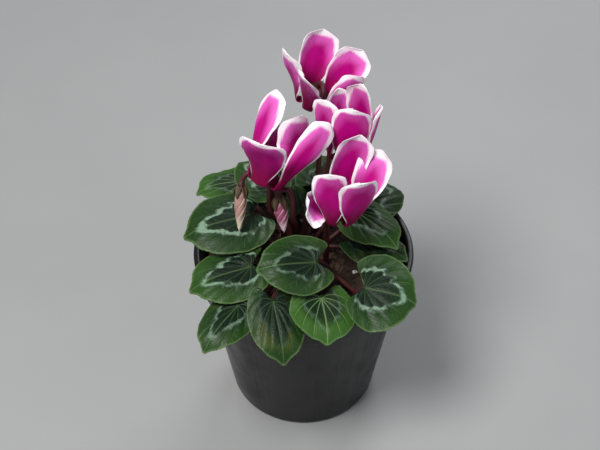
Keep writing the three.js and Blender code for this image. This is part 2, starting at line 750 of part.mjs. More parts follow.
// Five small sepals cupped under a bloom or a bud, widest at the flower
function calyxGeometry(radius) {
  const sepals = CALYX_RINGS.map(([z, r, lobe]) => ({ z: z * CALYX_HEIGHT, radius: r * radius, lobe }));
  const neck = { z: CALYX_HEIGHT, radius: CALYX_NECK * FLOWER_STALK_RADIUS };
  return ringed([{ z: 0 }, ...sepals, neck, { z: CALYX_HEIGHT + sepals[0].z }], BUD_SIDES);
}

// The bend at the top of a stalk: from below, over, and down onto the calyx
function hookPoints(top, up, aside, radius) {
  const at = (s, u) => top.clone().addScaledVector(aside, s).addScaledVector(up, u);
  const bend = HOOK_TURNS.map((degrees) => {
    const angle = THREE.MathUtils.degToRad(degrees);
    return at(radius * (1 + Math.cos(angle)), HOOK_SEAT + radius * Math.sin(angle));
  });
  const side = at(2 * radius + HOOK_SPREAD, -HOOK_DROP);
  const below = side.clone().setZ(side.z - HOOK_TAIL);
  return [below, side, ...bend, at(0, 1), at(0, 0)];
}

// ---------------------------------------------------------------- assembly

function label(index) {
  return String(index + 1).padStart(2, '0');
}

function leafStalk(leaf, index) {
  const axes = bladeAxes(leaf);
  const end = leaf.joint.clone().addScaledVector(axes.z, -BLADE_THICKNESS - BLADE_CLEARANCE);
  const before = leaf.joint.clone().addScaledVector(axes.z, -BLADE_APPROACH);
  return {
    name: `leaf_${label(index)}_stalk`,
    points: [before, end],
    target: leaf.joint,
    radius: LEAF_STALK_RADIUS,
    lift: LEAF_STALK_RISE,
    steps: LEAF_STALK_STEPS,
  };
}

// The gap between two petals that lies nearest to the middle of the plant: the stalk's way out
function nearestGap(axes, first, mouth) {
  const home = mouth.clone().negate().setZ(0);
  const wanted = azimuth(axes, home);
  let best = null;
  for (let k = 0; k < 5; k += 1) {
    const angle = first + ((2 * k + 1) * Math.PI) / 5;
    const off = Math.abs(Math.atan2(Math.sin(angle - wanted), Math.cos(angle - wanted)));
    if (best === null || off < best.off) {
      best = { angle, off };
    }
  }
  return best.angle;
}

function bloomParts(bloom, index) {
  const mouth = vector(bloom.mouth);
  const tips = bloom.petals.map(({ tip }) => vector(tip));
  const axes = bloomAxes(mouth, tips);
  const first = firstPetalAngle(axes, mouth, tips);
  const petals = bloom.petals.map((petal, k) => {
    const base = first + (2 * Math.PI * k) / 5;
    return petalGeometry(axes, mouth, { ...petal, tip: tips[k] }, base, 5 * index + k);
  });
  const toWorld = new THREE.Matrix4().makeBasis(axes.x, axes.y, axes.z).setPosition(mouth);
  const flower = fused([tubeGeometry().applyMatrix4(toWorld), ...petals]);
  const seat = mouth.clone().addScaledVector(axes.z, TUBE_HEIGHT + GAP);
  const seatMatrix = new THREE.Matrix4().makeBasis(axes.x, axes.y, axes.z).setPosition(seat);
  const top = seat.clone().addScaledVector(axes.z, CALYX_HEIGHT * CALYX_SEAT);
  const aside = radial(axes, nearestGap(axes, first, mouth));
  return {
    name: `bloom_${label(index)}`,
    flower,
    material: 'petals',
    calyx: calyxGeometry(CALYX_RADIUS).applyMatrix4(seatMatrix),
    points: hookPoints(top, axes.z, aside, BLOOM_HOOK),
    target: mouth,
  };
}

function budParts(bud, index) {
  const top = vector(bud.top);
  const down = vector(bud.point).normalize();
  const up = down.clone().negate();
  const home = new THREE.Vector3(-top.x, -top.y, 0);
  home.applyAxisAngle(new THREE.Vector3(0, 0, 1), THREE.MathUtils.degToRad(bud.swing));
  const aside = home.addScaledVector(up, -home.dot(up)).normalize();
  const side = down.clone().cross(aside);
  const hang = new THREE.Matrix4().makeBasis(aside, side, down).setPosition(top);
  const seat = top.clone().addScaledVector(up, GAP);
  const seatMatrix = new THREE.Matrix4().makeBasis(aside, side.clone().negate(), up).setPosition(seat);
  const calyx = calyxGeometry(bud.radius + CALYX_MARGIN).applyMatrix4(seatMatrix);
  const end = seat.clone().addScaledVector(up, CALYX_HEIGHT * CALYX_SEAT);
  return {
    name: `bud_${label(index)}`,
    flower: budGeometry(bud).applyMatrix4(hang),
    material: 'bud',
    calyx,
    points: hookPoints(end, up, aside, bud.hook),
    target: top,
  };
}

// Gives each stalk, the furthest first, the free spot on the crown nearest to the way it leans
function seatStalks(stalks) {
  const free = crownSpots(stalks.length);
  const reach = (stalk) => Math.hypot(stalk.target.x, stalk.target.y);
  const order = [...stalks].sort((a, b) => reach(b) - reach(a));
  for (const stalk of order) {
    const lean = Math.min(LEAN.most, LEAN.least + LEAN.share * reach(stalk));
    const wanted = stalk.target.clone().setZ(0).setLength(lean);
    free.sort((a, b) => a.distanceTo(wanted) - b.distanceTo(wanted));
    stalk.spot = free.shift();
  }
}

function named(geometry, material, name) {
  const mesh = new THREE.Mesh(geometry, finish(material));
  mesh.name = name;
  return mesh;
}

function buildPlant() {
  const plant = new THREE.Group();
  plant.position.z = POT_HEIGHT;
  const allLeaves = leaves();
  const flowers = [...BLOOMS.map(bloomParts), ...BUDS.map(budParts)];
  const leafStalks = allLeaves.map(leafStalk);
  const flowerStalks = flowers.map((flower) => ({
    ...flower,
    name: `${flower.name}_stalk`,
    radius: FLOWER_STALK_RADIUS,
    lift: FLOWER_STALK_RISE,
    steps: FLOWER_STALK_STEPS,
  }));
  const stalks = [...leafStalks, ...flowerStalks];
  seatStalks(stalks);
  allLeaves.forEach((leaf, i) => {
    const { x, y, z } = bladeAxes(leaf);
    const blade = named(bladeGeometry(leaf), 'blade', `leaf_${label(i)}_blade`);
    plant.add(place(blade, leaf.joint, x, y, z));
  });
  for (const stalk of stalks) {
    const curve = stalkCurve(stalkPath(stalk.spot, stalk.points, stalk.lift));
    const round = bar(curve, stalk.radius, STALK_SIDES, stalk.steps);
    const geometry = stalk.calyx ? fused([round, stalk.calyx]) : welded(round);
    plant.add(named(geometry, 'stalk', stalk.name));
  }
  for (const flower of flowers) {
    plant.add(named(flower.flower, flower.material, flower.name));
  }
  return { plant, stalks };
}

const { plant, stalks } = buildPlant();
const cyclamen = new THREE.Group();
cyclamen.add(named(potGeometry(), 'pot', 'pot'));
cyclamen.add(named(soilGeometry(), 'soil', 'potting_soil'));
cyclamen.add(named(tuberGeometry(stalks), 'tuber', 'tuber'));
cyclamen.add(plant);

export default cyclamen;
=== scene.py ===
"""A miniature cyclamen in its nursery pot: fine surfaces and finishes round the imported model.

Sizes and places are in mm, and those of leaves, flowers and stalks are from the middle of the
pot's rim, as in the part's source. Each mesh turns them into metres as its last step.
"""

import math

import bpy
import numpy as np
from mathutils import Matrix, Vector, noise


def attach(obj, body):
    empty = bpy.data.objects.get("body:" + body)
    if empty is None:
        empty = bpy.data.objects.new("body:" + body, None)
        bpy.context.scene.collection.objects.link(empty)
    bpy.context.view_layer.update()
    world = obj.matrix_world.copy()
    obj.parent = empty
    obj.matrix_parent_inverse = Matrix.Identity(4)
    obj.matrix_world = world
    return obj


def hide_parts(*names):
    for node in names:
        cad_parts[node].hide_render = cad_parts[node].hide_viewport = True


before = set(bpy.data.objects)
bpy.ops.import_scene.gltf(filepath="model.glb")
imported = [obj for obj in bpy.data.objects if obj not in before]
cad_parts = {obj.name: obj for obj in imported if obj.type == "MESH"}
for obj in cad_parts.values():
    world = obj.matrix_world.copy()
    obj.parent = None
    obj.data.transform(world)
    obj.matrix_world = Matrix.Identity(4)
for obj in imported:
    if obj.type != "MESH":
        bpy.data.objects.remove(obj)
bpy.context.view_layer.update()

BODY = "root"
MM = 0.001
UP = np.array([0.0, 0.0, 1.0])
TURN = 2 * math.pi

# ---------------- the part's driving dimensions

GAP = 0.3
POT_HEIGHT = 78.0
RIM_RADIUS = 45.0
RIM_BAND = 9.0
RIM_STEP = 1.8
BASE_RADIUS = 31.0
WALL = 1.2
FLOOR_LIFT = 2.5
FOOT_RADIUS = 22.0
DRAIN_HOLES = 8
DRAIN_RADIUS = 2.4
DRAIN_CIRCLE = 26.5
SOIL_TOP = POT_HEIGHT - 9
TUBER_RADIUS = 18.0
TUBER_TOP = SOIL_TOP + 7
TUBER_DEPTH = 12.0
LEAF_STALK_RADIUS = 1.05
FLOWER_STALK_RADIUS = 1.2
HOLE_DEPTH = 3.0
SPOT_SPACING = 2.35
GOLDEN_ANGLE = math.pi * (3 - math.sqrt(5))
CROWN_TURN = 4.16
BLADE_BOW = 2.4
BLADE_DROOP = 2.6
BLADE_WAVE = 0.5
BLADE_WAVES = 5
BLADE_REACH = 25.0
BLADE_SCALLOPS = 12
TOOTH = 0.006
PETALS = 5
PETAL_CUP = 0.16
PETAL_WAVE = 0.5
PETAL_FLARE = 0.35
PETAL_BOW = 0.8
PETAL_WIDTHS = [
    (0, 0.32), (0.12, 0.33), (0.24, 0.42), (0.36, 0.66), (0.5, 0.88),
    (0.66, 0.98), (0.82, 1), (0.93, 0.85), (1, 0.42),
]
CLAW = [(-1, 1.2), (0.3, -0.6), (1.9, -0.7)]
MOUTH_RADIUS = 4.3
TUBE_HEIGHT = 5.2
FOLD_RADIUS = 7.2
FOLD_RISE = 0.8
CALYX_HEIGHT = 2.0
CALYX_SEAT = 0.6
BUD_TWIST = 1.9
BUD_SWELL = [
    (0, 0), (0.02, 0.62), (0.14, 0.88), (0.32, 1), (0.55, 0.84), (0.78, 0.52), (0.93, 0.24), (1, 0),
]
BLOOM_HOOK = 3.5
HOOK_DROP = 3.0
HOOK_TAIL = 6.0

# Leaves in view: joint, tip, width, roll about the midrib in degrees
FRONT_LEAVES = [
    ((-26, 31, 9), (-45, 25, 6), 20, 0),
    ((-21, 0.5, 19), (-47.5, -7.5, 12.5), 30, -10),
    ((-21, -20.5, 11), (-44.5, -28.5, 4.5), 26, -8),
    ((-25.5, -35, 4.5), (-38, -53, -3), 20, 0),
    ((-11.5, -38, 10), (-7.4, -58, -4), 22, -6),
    ((4.5, -26.5, 20), (-18, -31, 19.5), 25, -21),
    ((7, -36, 10), (9, -53.5, 2.5), 26, -12),
    ((24, -31.5, 11), (43.5, -35.5, 5.5), 34, 14),
    ((20.5, 5, 17), (37, -12.5, 12.5), 22, 0),
    ((22, -2, 7), (41.5, -11, 4), 20, 0),
    ((-2, 9, 12), (-3.5, 18, 19), 10, 0),
]
# Leaves behind: count, from and to in degrees, joint radius, reach, rise, step, fall, width
BACK_RINGS = [
    (5, 38, 105, 31, 21, 7, 5, 5, 25),
    (2, 30, 140, 17, 20, 24, 0, 1, 21),
]
STEP_IN = 0.9

# Blooms: the middle of the mouth, then each petal's tip, its turn in degrees and its width
BLOOMS = [
    ((3.3, 27, 55.5), [
        ((22.5, 24, 70), -30, 12), ((22.7, 34, 75), 30, 15), ((7.5, 45, 77), 0, 16),
        ((-7, 26, 80), 35, 13), ((-0.5, 11.5, 80), -25, 12),
    ]),
    ((-14.5, -11, 47.5), [
        ((9.4, -4, 70.5), -35, 11), ((-1, 4.5, 67), -75, 16), ((-7, 15, 52), 0, 11),
        ((-10.3, 10.5, 74.5), 45, 13), ((-15.5, -21.5, 75.5), 12, 18),
    ]),
    ((16.5, 4, 48), [
        ((18.3, -3, 76), 0, 15), ((29, 2, 73), 15, 13), ((21.5, 12, 76), 0, 13),
        ((13, 17, 70), 0, 12), ((7.3, 5, 74), 40, 12),
    ]),
    ((13.3, -19, 38.5), [
        ((9.3, -26, 65), 25, 13), ((20.5, -29, 63.5), -25, 15), ((29, -7, 60), 35, 14),
        ((21, -6, 66.5), 0, 14), ((1, -28, 46), -10, 13),
    ]),
]
# Buds: top, direction, length, radius, hook, swing in degrees
BUDS = [
    ((-24.5, -1, 34), (-0.05, -0.5, -0.87), 17, 2.4, 5.5, 0),
    ((-9.3, -9.7, 36.5), (0.13, -0.36, -0.92), 13.5, 2.7, 2.4, -55),
]


# ---------------- helpers: numbers

def draw(n):
    """A repeatable draw from 0 to 1 for the n-th thing that varies."""
    value = math.sin(n * 127.1 + 311.7) * 43758.5453
    return value - math.floor(value)


def vec(*values):
    return np.array(values, float)


def polar(radius, angle, height=0.0):
    return vec(radius * math.cos(angle), radius * math.sin(angle), height)


def ring_angles(sides):
    return np.arange(sides) * TURN / sides


def unit(v):
    return v / np.linalg.norm(v, axis=-1, keepdims=True)


def dot(a, b):
    return (a * b).sum(-1, keepdims=True)


def turned_about(v, axis, angle):
    """v turned about a unit axis, by the right hand; rows of arrays are turned one by one."""
    c, s = np.cos(angle), np.sin(angle)
    return v * c + np.cross(axis, v) * s + axis * dot(v, axis) * (1 - c)


def ease(low, high, x):
    """0 below low and 1 above high, smooth between."""
    t = np.clip((x - low) / (high - low), 0, 1)
    return t * t * (3 - 2 * t)


def through(stops, x):
    """A smooth line through pairs of stops: straight ones between them, averaged over a tenth."""
    samples, window = 401, 41
    at, value = np.array(stops, float).T
    fine = np.linspace(at[0], at[-1], samples)
    kernel = np.hanning(window)
    padded = np.pad(np.interp(fine, at, value), window // 2, mode="edge")
    return np.interp(x, fine, np.convolve(padded, kernel / kernel.sum(), "valid"))


def bezier(a, b, c, d, t):
    t = np.asarray(t, float)[..., None]
    s = 1 - t
    return s**3 * a + 3 * s * s * t * b + 3 * s * t * t * c + t**3 * d


SPLINE_STEPS = 30  # points between two given ones
TANGENT_SPAN = 0.004  # share of the length to each side that a direction is read from


def smooth_line(points, shares):
    """Places and directions at shares of the length of a centripetal spline through points."""
    p = [np.asarray(x, float) for x in points]
    p = [2 * p[0] - p[1], *p, 2 * p[-1] - p[-2]]
    t = np.linspace(0, 1, SPLINE_STEPS, endpoint=False)[:, None]
    dense = []
    for i in range(1, len(p) - 2):
        a, b, c, d = p[i - 1:i + 3]
        d0, d1, d2 = (math.sqrt(np.linalg.norm(y - x)) for x, y in ((a, b), (b, c), (c, d)))
        m1 = d1 * ((b - a) / d0 - (c - a) / (d0 + d1) + (c - b) / d1)
        m2 = d1 * ((c - b) / d1 - (d - b) / (d1 + d2) + (d - c) / d2)
        bend, twist = 3 * (c - b) - 2 * m1 - m2, 2 * (b - c) + m1 + m2
        dense.append(b + m1 * t + bend * t**2 + twist * t**3)
    dense = np.vstack([*dense, p[-2]])
    length = np.concatenate([[0], np.cumsum(np.linalg.norm(np.diff(dense, axis=0), axis=1))])

    def place(x):
        return np.stack([np.interp(x, length, dense[:, k]) for k in range(3)], -1)

    at = np.asarray(shares) * length[-1]
    step = TANGENT_SPAN * length[-1]
    ahead, behind = place(np.clip(at + step, None, length[-1])), place(np.clip(at - step, 0, None))
    return place(at), unit(ahead - behind)


FRACTAL = (0.9, 2.1, 3)  # fall-off, step and number of the octaves


def rough(points, scale):
    """Fractal noise, about -1 to 1, at each of an array of points in mm."""
    values = [noise.fractal(Vector(q), *FRACTAL) for q in points.reshape(-1, 3) / scale]
    return np.array(values).reshape(points.shape[:-1])


# ---------------- helpers: meshes

def add_object(name, data):
    made = bpy.data.objects.new(name, data)
    bpy.context.scene.collection.objects.link(made)
    return made


class Body:
    """Vertices and faces of one piece, gathered from several surfaces."""

    def __init__(self):
        self.points, self.faces, self.uv, self.kinds, self.marks = [], [], [], [], {}
        self.count = 0

    def add(self, points, faces, corners=None, kind=0, **marks):
        """corners gives each face corner's place on the map, marks a value for all or by point."""
        points = np.asarray(points, float).reshape(-1, 3)
        self.faces += [[v + self.count for v in face] for face in faces]
        self.kinds += [kind] * len(faces)
        corners = corners or [[(0.0, 0.0)] * len(face) for face in faces]
        self.uv += [c for face in corners for c in face]
        for name in {**self.marks, **marks}:
            before = self.marks.setdefault(name, [np.zeros(self.count)])
            value = np.asarray(marks.get(name, 0.0), float).ravel()
            before.append(np.broadcast_to(value, (len(points),)))
        self.points.append(points)
        self.count += len(points)

    def build(self, node, materials, slot=None, from_rim=True, sharp=None):
        """The finished object, in metres, riding on the part; with a slot it stands for a node."""
        name = f"{node}_fine" if slot else node
        points = np.vstack(self.points) + (UP * POT_HEIGHT if from_rim else 0)
        mesh = bpy.data.meshes.new(name)
        mesh.from_pydata((points * MM).tolist(), [], self.faces)
        layer = mesh.uv_layers.new(name="surface")
        layer.uv.foreach_set("vector", np.array(self.uv, np.float32).ravel())
        for mark, values in self.marks.items():
            data = mesh.attributes.new(mark, "FLOAT", "POINT").data
            data.foreach_set("value", np.concatenate(values).astype(np.float32))
        for material in materials:
            mesh.materials.append(material)
        mesh.polygons.foreach_set("material_index", self.kinds)
        mesh.polygons.foreach_set("use_smooth", [True] * len(self.faces))
        if sharp is not None:
            mesh.set_sharp_from_angle(angle=math.radians(sharp))
        piece = add_object(name, mesh)
        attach(piece, BODY)
        if slot:
            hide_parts(node)
        return piece


def quads(rows, columns, u=None, v=None, closed=True):
    """Faces of a grid of points, and their corners' places on the map; closed joins last to first.

    v goes by row, and u by column or by both.
    """
    u = np.arange(columns + 1) / columns if u is None else u
    v = np.linspace(0, 1, rows) if v is None else v
    u = np.broadcast_to(u, (rows, np.shape(u)[-1]))
    faces, places = [], []
    for i in range(rows - 1):
        for j in range(columns if closed else columns - 1):
            spots = [(i, j), (i, j + 1), (i + 1, j + 1), (i + 1, j)]
            faces.append([r * columns + c % columns for r, c in spots])
            places.append([(u[r, c], v[r]) for r, c in spots])
    return faces, places


def caps(rows, sides):
    """Faces that close the first and the last ring of a grid of rings."""
    return [list(range(sides))[::-1], list(range((rows - 1) * sides, rows * sides))]


def cap_places(sides):
    return [[(0.5, 0.0)] * sides, [(0.5, 1.0)] * sides]


def reverse(faces):
    """Faces, or their places on the map, seen from the other side."""
    return [face[::-1] for face in faces]


def revolved(r, z, turn):
    return np.stack([r * np.cos(turn), r * np.sin(turn), z + 0 * turn], -1)


def sheet(body, grid, thickness, u, v, **marks):
    """Adds a thin closed leaf of tissue; grid is (rows, columns, 3)."""
    rows, columns = grid.shape[:2]
    normal = unit(np.cross(np.gradient(grid, axis=1), np.gradient(grid, axis=0)))
    half = (np.broadcast_to(thickness, (rows, columns)) / 2)[..., None]
    faces, places = quads(rows, columns, u, v, closed=False)
    under = rows * columns
    spot = np.arange(under).reshape(rows, columns)
    rim = np.concatenate([spot[0, :-1], spot[:-1, -1], spot[-1, :0:-1], spot[:0:-1, 0]]).tolist()
    edge, edge_places = [], []
    for a, b in zip(rim, rim[1:] + rim[:1]):
        here, there = ((u[k % columns], v[k // columns]) for k in (a, b))
        edge.append([b, a, a + under, b + under])
        edge_places.append([there, here, here, there])
    under_faces = reverse([[f + under for f in face] for face in faces])
    both = {name: np.tile(np.broadcast_to(value, (rows, columns)).ravel(), 2)
            for name, value in marks.items()}
    body.add([grid + normal * half, grid - normal * half], faces + edge + under_faces,
             places + edge_places + reverse(places), **both)


def tube(body, line, radii, sides, **marks):
    """Adds a round stem along a line of points, closed at both ends."""
    line = np.asarray(line, float)
    rows = len(line)
    along = unit(np.gradient(line, axis=0))
    side = unit(np.cross(along[0], vec(0.31, 0.95, 0.02)))
    c, s = np.cos(ring_angles(sides)), np.sin(ring_angles(sides))
    rings = []
    for place, direction, radius in zip(line, along, radii):
        side = unit(side - direction * (side @ direction))
        rings.append(place + radius * (np.outer(c, side) + np.outer(s, np.cross(direction, side))))
    faces, places = quads(rows, sides)
    body.add(rings, faces + caps(rows, sides), places + cap_places(sides),
             **{name: np.repeat(value, sides) for name, value in marks.items()})


def lathe(body, profile, sides, bend):
    """Adds a body of revolution from [radius, height] pairs that start and end on the axis."""
    profile = np.asarray(profile, float)
    r, z = profile[1:-1, :1], profile[1:-1, 1:]
    grid = bend(revolved(r, z, ring_angles(sides)))
    rows = len(grid)
    faces, places = quads(rows, sides)
    ends = [[0, 0, profile[0, 1]], [0, 0, profile[-1, 1]]]
    low, high = rows * sides, rows * sides + 1
    for j in range(sides):
        k = (j + 1) % sides
        here, there = j / sides, (j + 1) / sides
        faces += [[k, j, low], [(rows - 1) * sides + j, (rows - 1) * sides + k, high]]
        places += [[(there, 0), (here, 0), (here, 0)], [(here, 1), (there, 1), (here, 1)]]
    body.add(np.vstack([grid.reshape(-1, 3), ends]), faces, places)


def rounded(profile, radius, steps=4):
    """A profile with each inner corner rounded to a radius, or to what its sides leave room for."""
    p = [np.asarray(x, float) for x in profile]
    made = [p[0]]
    for a, b, c in zip(p, p[1:], p[2:]):
        cut = min(radius, 0.45 * np.linalg.norm(a - b), 0.45 * np.linalg.norm(c - b))
        start, end = b + unit(a - b) * cut, b + unit(c - b) * cut
        for t in np.linspace(0, 1, steps + 1):
            made.append((1 - t) ** 2 * start + 2 * t * (1 - t) * b + t * t * end)
    return np.array([*made, p[-1]])


# ---------------- helpers: materials

def operator(name):
    return lambda a, b: a.shades.math(name, a, b)


class Value:
    """What comes out of a node; its sums, products and so on are nodes again."""

    def __init__(self, shades, socket):
        self.shades, self.socket = shades, socket

    __add__, __sub__ = operator("ADD"), operator("SUBTRACT")
    __mul__, __truediv__ = operator("MULTIPLY"), operator("DIVIDE")

    def __rsub__(self, other):
        return self.shades.math("SUBTRACT", other, self)

    def __abs__(self):
        return self.shades.math("ABSOLUTE", self)

    def clamped(self):
        """The same value, held between 0 and 1."""
        self.socket.node.use_clamp = True
        return self


class Shades:
    """A node-based material, written with values and numbers."""

    def __init__(self, name):
        self.material = bpy.data.materials.new(name)
        self.material.use_nodes = True
        self.tree = self.material.node_tree
        self.shader = next(n for n in self.tree.nodes if n.type == "BSDF_PRINCIPLED")

    def put(self, socket, value):
        if isinstance(value, Value):
            self.tree.links.new(value.socket, socket)
        else:
            socket.default_value = value

    def node(self, kind, output, values, **settings):
        """What comes out of a new node, with a value or a number in each named socket."""
        made = self.tree.nodes.new(kind)
        for key, value in settings.items():
            setattr(made, key, value)
        for socket, value in values.items():
            self.put(made.inputs[socket], value)
        return Value(self, made.outputs[output])

    def math(self, operation, *values):
        return self.node("ShaderNodeMath", 0, dict(enumerate(values)), operation=operation)

    def most(self, a, b):
        return self.math("MAXIMUM", a, b)

    def ease(self, low, high, value):
        """0 where value is below low and 1 above high, smooth between."""
        return self.node("ShaderNodeMapRange", "Result",
                         {"Value": value, "From Min": low, "From Max": high},
                         interpolation_type="SMOOTHSTEP")

    def mix(self, share, a, b):
        """Colour a where share is 0 and colour b where it is 1."""
        a, b = (x if isinstance(x, Value) else (*x, 1) for x in (a, b))
        return self.node("ShaderNodeMix", 2, {"Factor": share, 6: a, 7: b}, data_type="RGBA")

    def mark(self, name):
        return self.node("ShaderNodeAttribute", "Fac", {}, attribute_name=name)

    def surface(self):
        """The two places on the piece's own map."""
        where = self.node("ShaderNodeUVMap", "UV", {}, uv_map="surface")
        u = self.node("ShaderNodeSeparateXYZ", "X", {"Vector": where})
        return u, Value(self, u.socket.node.outputs["Y"])

    def pattern(self, kind, output, size, values, where=None, **settings):
        """A pattern of a size in mm on the piece, or of a size of 1 on a map."""
        if where is None:
            where, size = self.node("ShaderNodeTexCoord", "Object", {}), size * MM
        return self.node(kind, output, {"Vector": where, "Scale": 1 / size, **values}, **settings)

    def noise(self, size, detail=3.0, roughness=0.55, where=None):
        """Noise from 0 to 1 in patches of about the given size."""
        values = {"Detail": detail, "Roughness": roughness}
        return self.pattern("ShaderNodeTexNoise", "Fac", size, values, where)

    def streaks(self, u, v, detail=4.0):
        """Noise from 0 to 1 on the map, drawn out where u or v is small."""
        where = self.node("ShaderNodeCombineXYZ", 0, {"X": u, "Y": v})
        return self.noise(1.0, detail, where=where)

    def cells(self, size, feature="F1"):
        return self.pattern("ShaderNodeTexVoronoi", "Distance", size, {}, feature=feature)

    def bump(self, height, depth, **before):
        """Relief of the given depth in mm where height goes from 0 to 1."""
        values = {"Height": height, "Distance": depth * MM, "Strength": 1.0, **before}
        return self.node("ShaderNodeBump", "Normal", values)

    def finish(self, colour, roughness, normal, **constants):
        inputs = self.shader.inputs
        for socket, value in (("Base Color", colour), ("Roughness", roughness), ("Normal", normal)):
            self.put(inputs[socket], value)
        for socket, value in constants.items():
            inputs[socket.replace("_", " ")].default_value = value
        return self.material


# ---------------- materials

# Colours in linear light; where there are two, most surfaces wander between them
LEAF_DARK = (0.0014, 0.007, 0.004), (0.004, 0.016, 0.0065)
LEAF_GREEN = (0.0026, 0.0125, 0.0038), (0.0078, 0.0265, 0.0068)
LEAF_OLIVE = (0.034, 0.042, 0.006)
LEAF_BRIGHT = (0.033, 0.098, 0.014)
LEAF_SILVER = (0.17, 0.265, 0.19)
LEAF_VEIN = (0.15, 0.26, 0.1)
LEAF_RIM = (0.12, 0.2, 0.07)
UNDER_SIDE = (0.13, 0.2, 0.075), (0.2, 0.075, 0.065)
UNDER_VEIN = (0.3, 0.2, 0.14)
PETAL_MAGENTA = (0.36, 0.0, 0.14), (0.53, 0.001, 0.25)
PETAL_VEIN = (0.25, 0.001, 0.09)
PETAL_FOOT = (0.19, 0.0005, 0.045)
PETAL_LILAC = (0.78, 0.16, 0.6)
PETAL_WHITE = (0.97, 0.88, 0.95)
STALK_RED = (0.022, 0.005, 0.006), (0.06, 0.012, 0.013)  # at the crown, and from halfway up
# The top of the stalk: partly its own red, partly painted shade, kept dark so the hooks read as
# gaps between the petals
STALK_TOP_AND_SHADE = (0.075, 0.007, 0.022)
STALK_STREAK = (0.03, 0.007, 0.007)
# The sepals' own green and red, also darkened as painted shade
SEPAL_AND_SHADE = (0.05, 0.06, 0.02), (0.085, 0.022, 0.02)
ANTHER = (0.62, 0.4, 0.05), (0.8, 0.62, 0.16)
# Buds: petal, a darker tone that is also used as painted shade in the folds, and tip
BUD_CREAM = (0.5, 0.33, 0.28), (0.3, 0.14, 0.13), (0.62, 0.57, 0.42)
BUD_MAUVE = (0.42, 0.13, 0.22), (0.22, 0.03, 0.085), (0.76, 0.6, 0.66)
PEAT = (0.012, 0.007, 0.0045), (0.06, 0.034, 0.02)
FIBRE = (0.13, 0.08, 0.045)
PERLITE = (0.55, 0.53, 0.48), (0.82, 0.8, 0.75)
CORK = (0.05, 0.026, 0.015), (0.17, 0.1, 0.055)
CORK_CRACK = (0.02, 0.012, 0.008)
PLASTIC = (0.0075, 0.0075, 0.0085)
PLASTIC_DUST = (0.022, 0.021, 0.02)
PLASTIC_SPLASH = (0.11, 0.1, 0.09)
FLOOR_GREY = (0.29, 0.295, 0.3), (0.32, 0.325, 0.33)

VEIN_SPACING = 0.62  # between two main veins where they leave the stalk, in radians
VEIN_CURVE = 0.32  # how far they bend towards the tip on their way to the margin
ANGLE_SPAN = 10.0  # radians across the blade's map
BLADE_RADIUS = 13.0  # usual distance from stalk to margin, for vein widths in mm


def leaf_shades(name, top):
    """The marbled upper face of a leaf, or its paler under side."""
    s = Shades(name)
    u, share = s.surface()
    angle = (u - 0.5) * ANGLE_SPAN
    nearest = s.math("PINGPONG", abs(angle), VEIN_SPACING / 2)
    blur = (s.noise(1.1) - 0.5) * 0.35
    vein = 1 - s.ease(0.08, 0.34, nearest * share * BLADE_RADIUS + blur)
    vein = vein * (1 - s.ease(0.82, 1.0, share))
    rib = 1 - s.ease(0.18, 0.5, abs(angle) * share * BLADE_RADIUS)
    lines = s.most(vein, rib)
    # Side veins leave each main vein towards the margin and meet halfway
    chevron = share * 9.0 + nearest * -5.0 + s.noise(4.0) * 0.8
    side = 1 - s.ease(0.03, 0.12, s.math("PINGPONG", chevron, 0.5))
    relief = lines * -0.9 + side * -0.35 + s.cells(0.55) * 0.35
    if not top:
        colour = s.mix(s.ease(0.35, 0.75, s.noise(7.0)), *UNDER_SIDE)
        colour = s.mix(lines * 0.6, colour, UNDER_VEIN)
        return s.finish(colour, 0.55, s.bump(relief * -1.0, 0.16))
    # The silver band runs round between the dark middle and the margin, and on towards the tip
    bend = (1 - s.ease(0.0, 0.9, abs(angle))) * -0.2
    wander = (s.noise(6.0) - 0.5) * 0.26
    ring = share + nearest * -0.22 + (wander + bend)
    jagged = ring + (s.noise(0.9) - 0.5) * 0.09
    band = s.ease(0.42, 0.48, jagged) * (1 - s.ease(0.5, 0.6, jagged))
    band = band * (s.ease(0.4, 0.56, s.noise(4.5, detail=2.0)) * 0.9 + 0.1)
    band = (band * s.mark("silver")).clamped()
    olive = (s.ease(0.5, 0.68, s.noise(13.0, detail=1.0)) * s.mark("olive")).clamped()
    outer = s.mix(olive, s.mix(s.noise(4.5), *LEAF_GREEN), LEAF_OLIVE)
    heart = ((1 - s.ease(0.4, 0.64, ring)) * s.mark("heart")).clamped()
    colour = s.mix(heart, outer, s.mix(s.noise(3.0), *LEAF_DARK))
    bright = (s.ease(0.45, 0.92, share) * s.mark("bright")).clamped()
    colour = s.mix(bright, colour, LEAF_BRIGHT)
    colour = s.mix(band, colour, LEAF_SILVER)
    rays = s.mark("rays")
    veins = s.most(vein * (rays * 0.5 + 0.09), rib * (rays * 0.4 + 0.24))
    colour = s.mix(s.most(veins, side * 0.05).clamped(), colour, LEAF_VEIN)
    colour = s.mix(s.ease(0.945, 0.99, share) * 0.5, colour, LEAF_RIM)
    roughness = s.noise(0.35, detail=2.0) * 0.16 + 0.32
    return s.finish(colour, roughness, s.bump(relief, 0.13), Specular_IOR_Level=0.17)


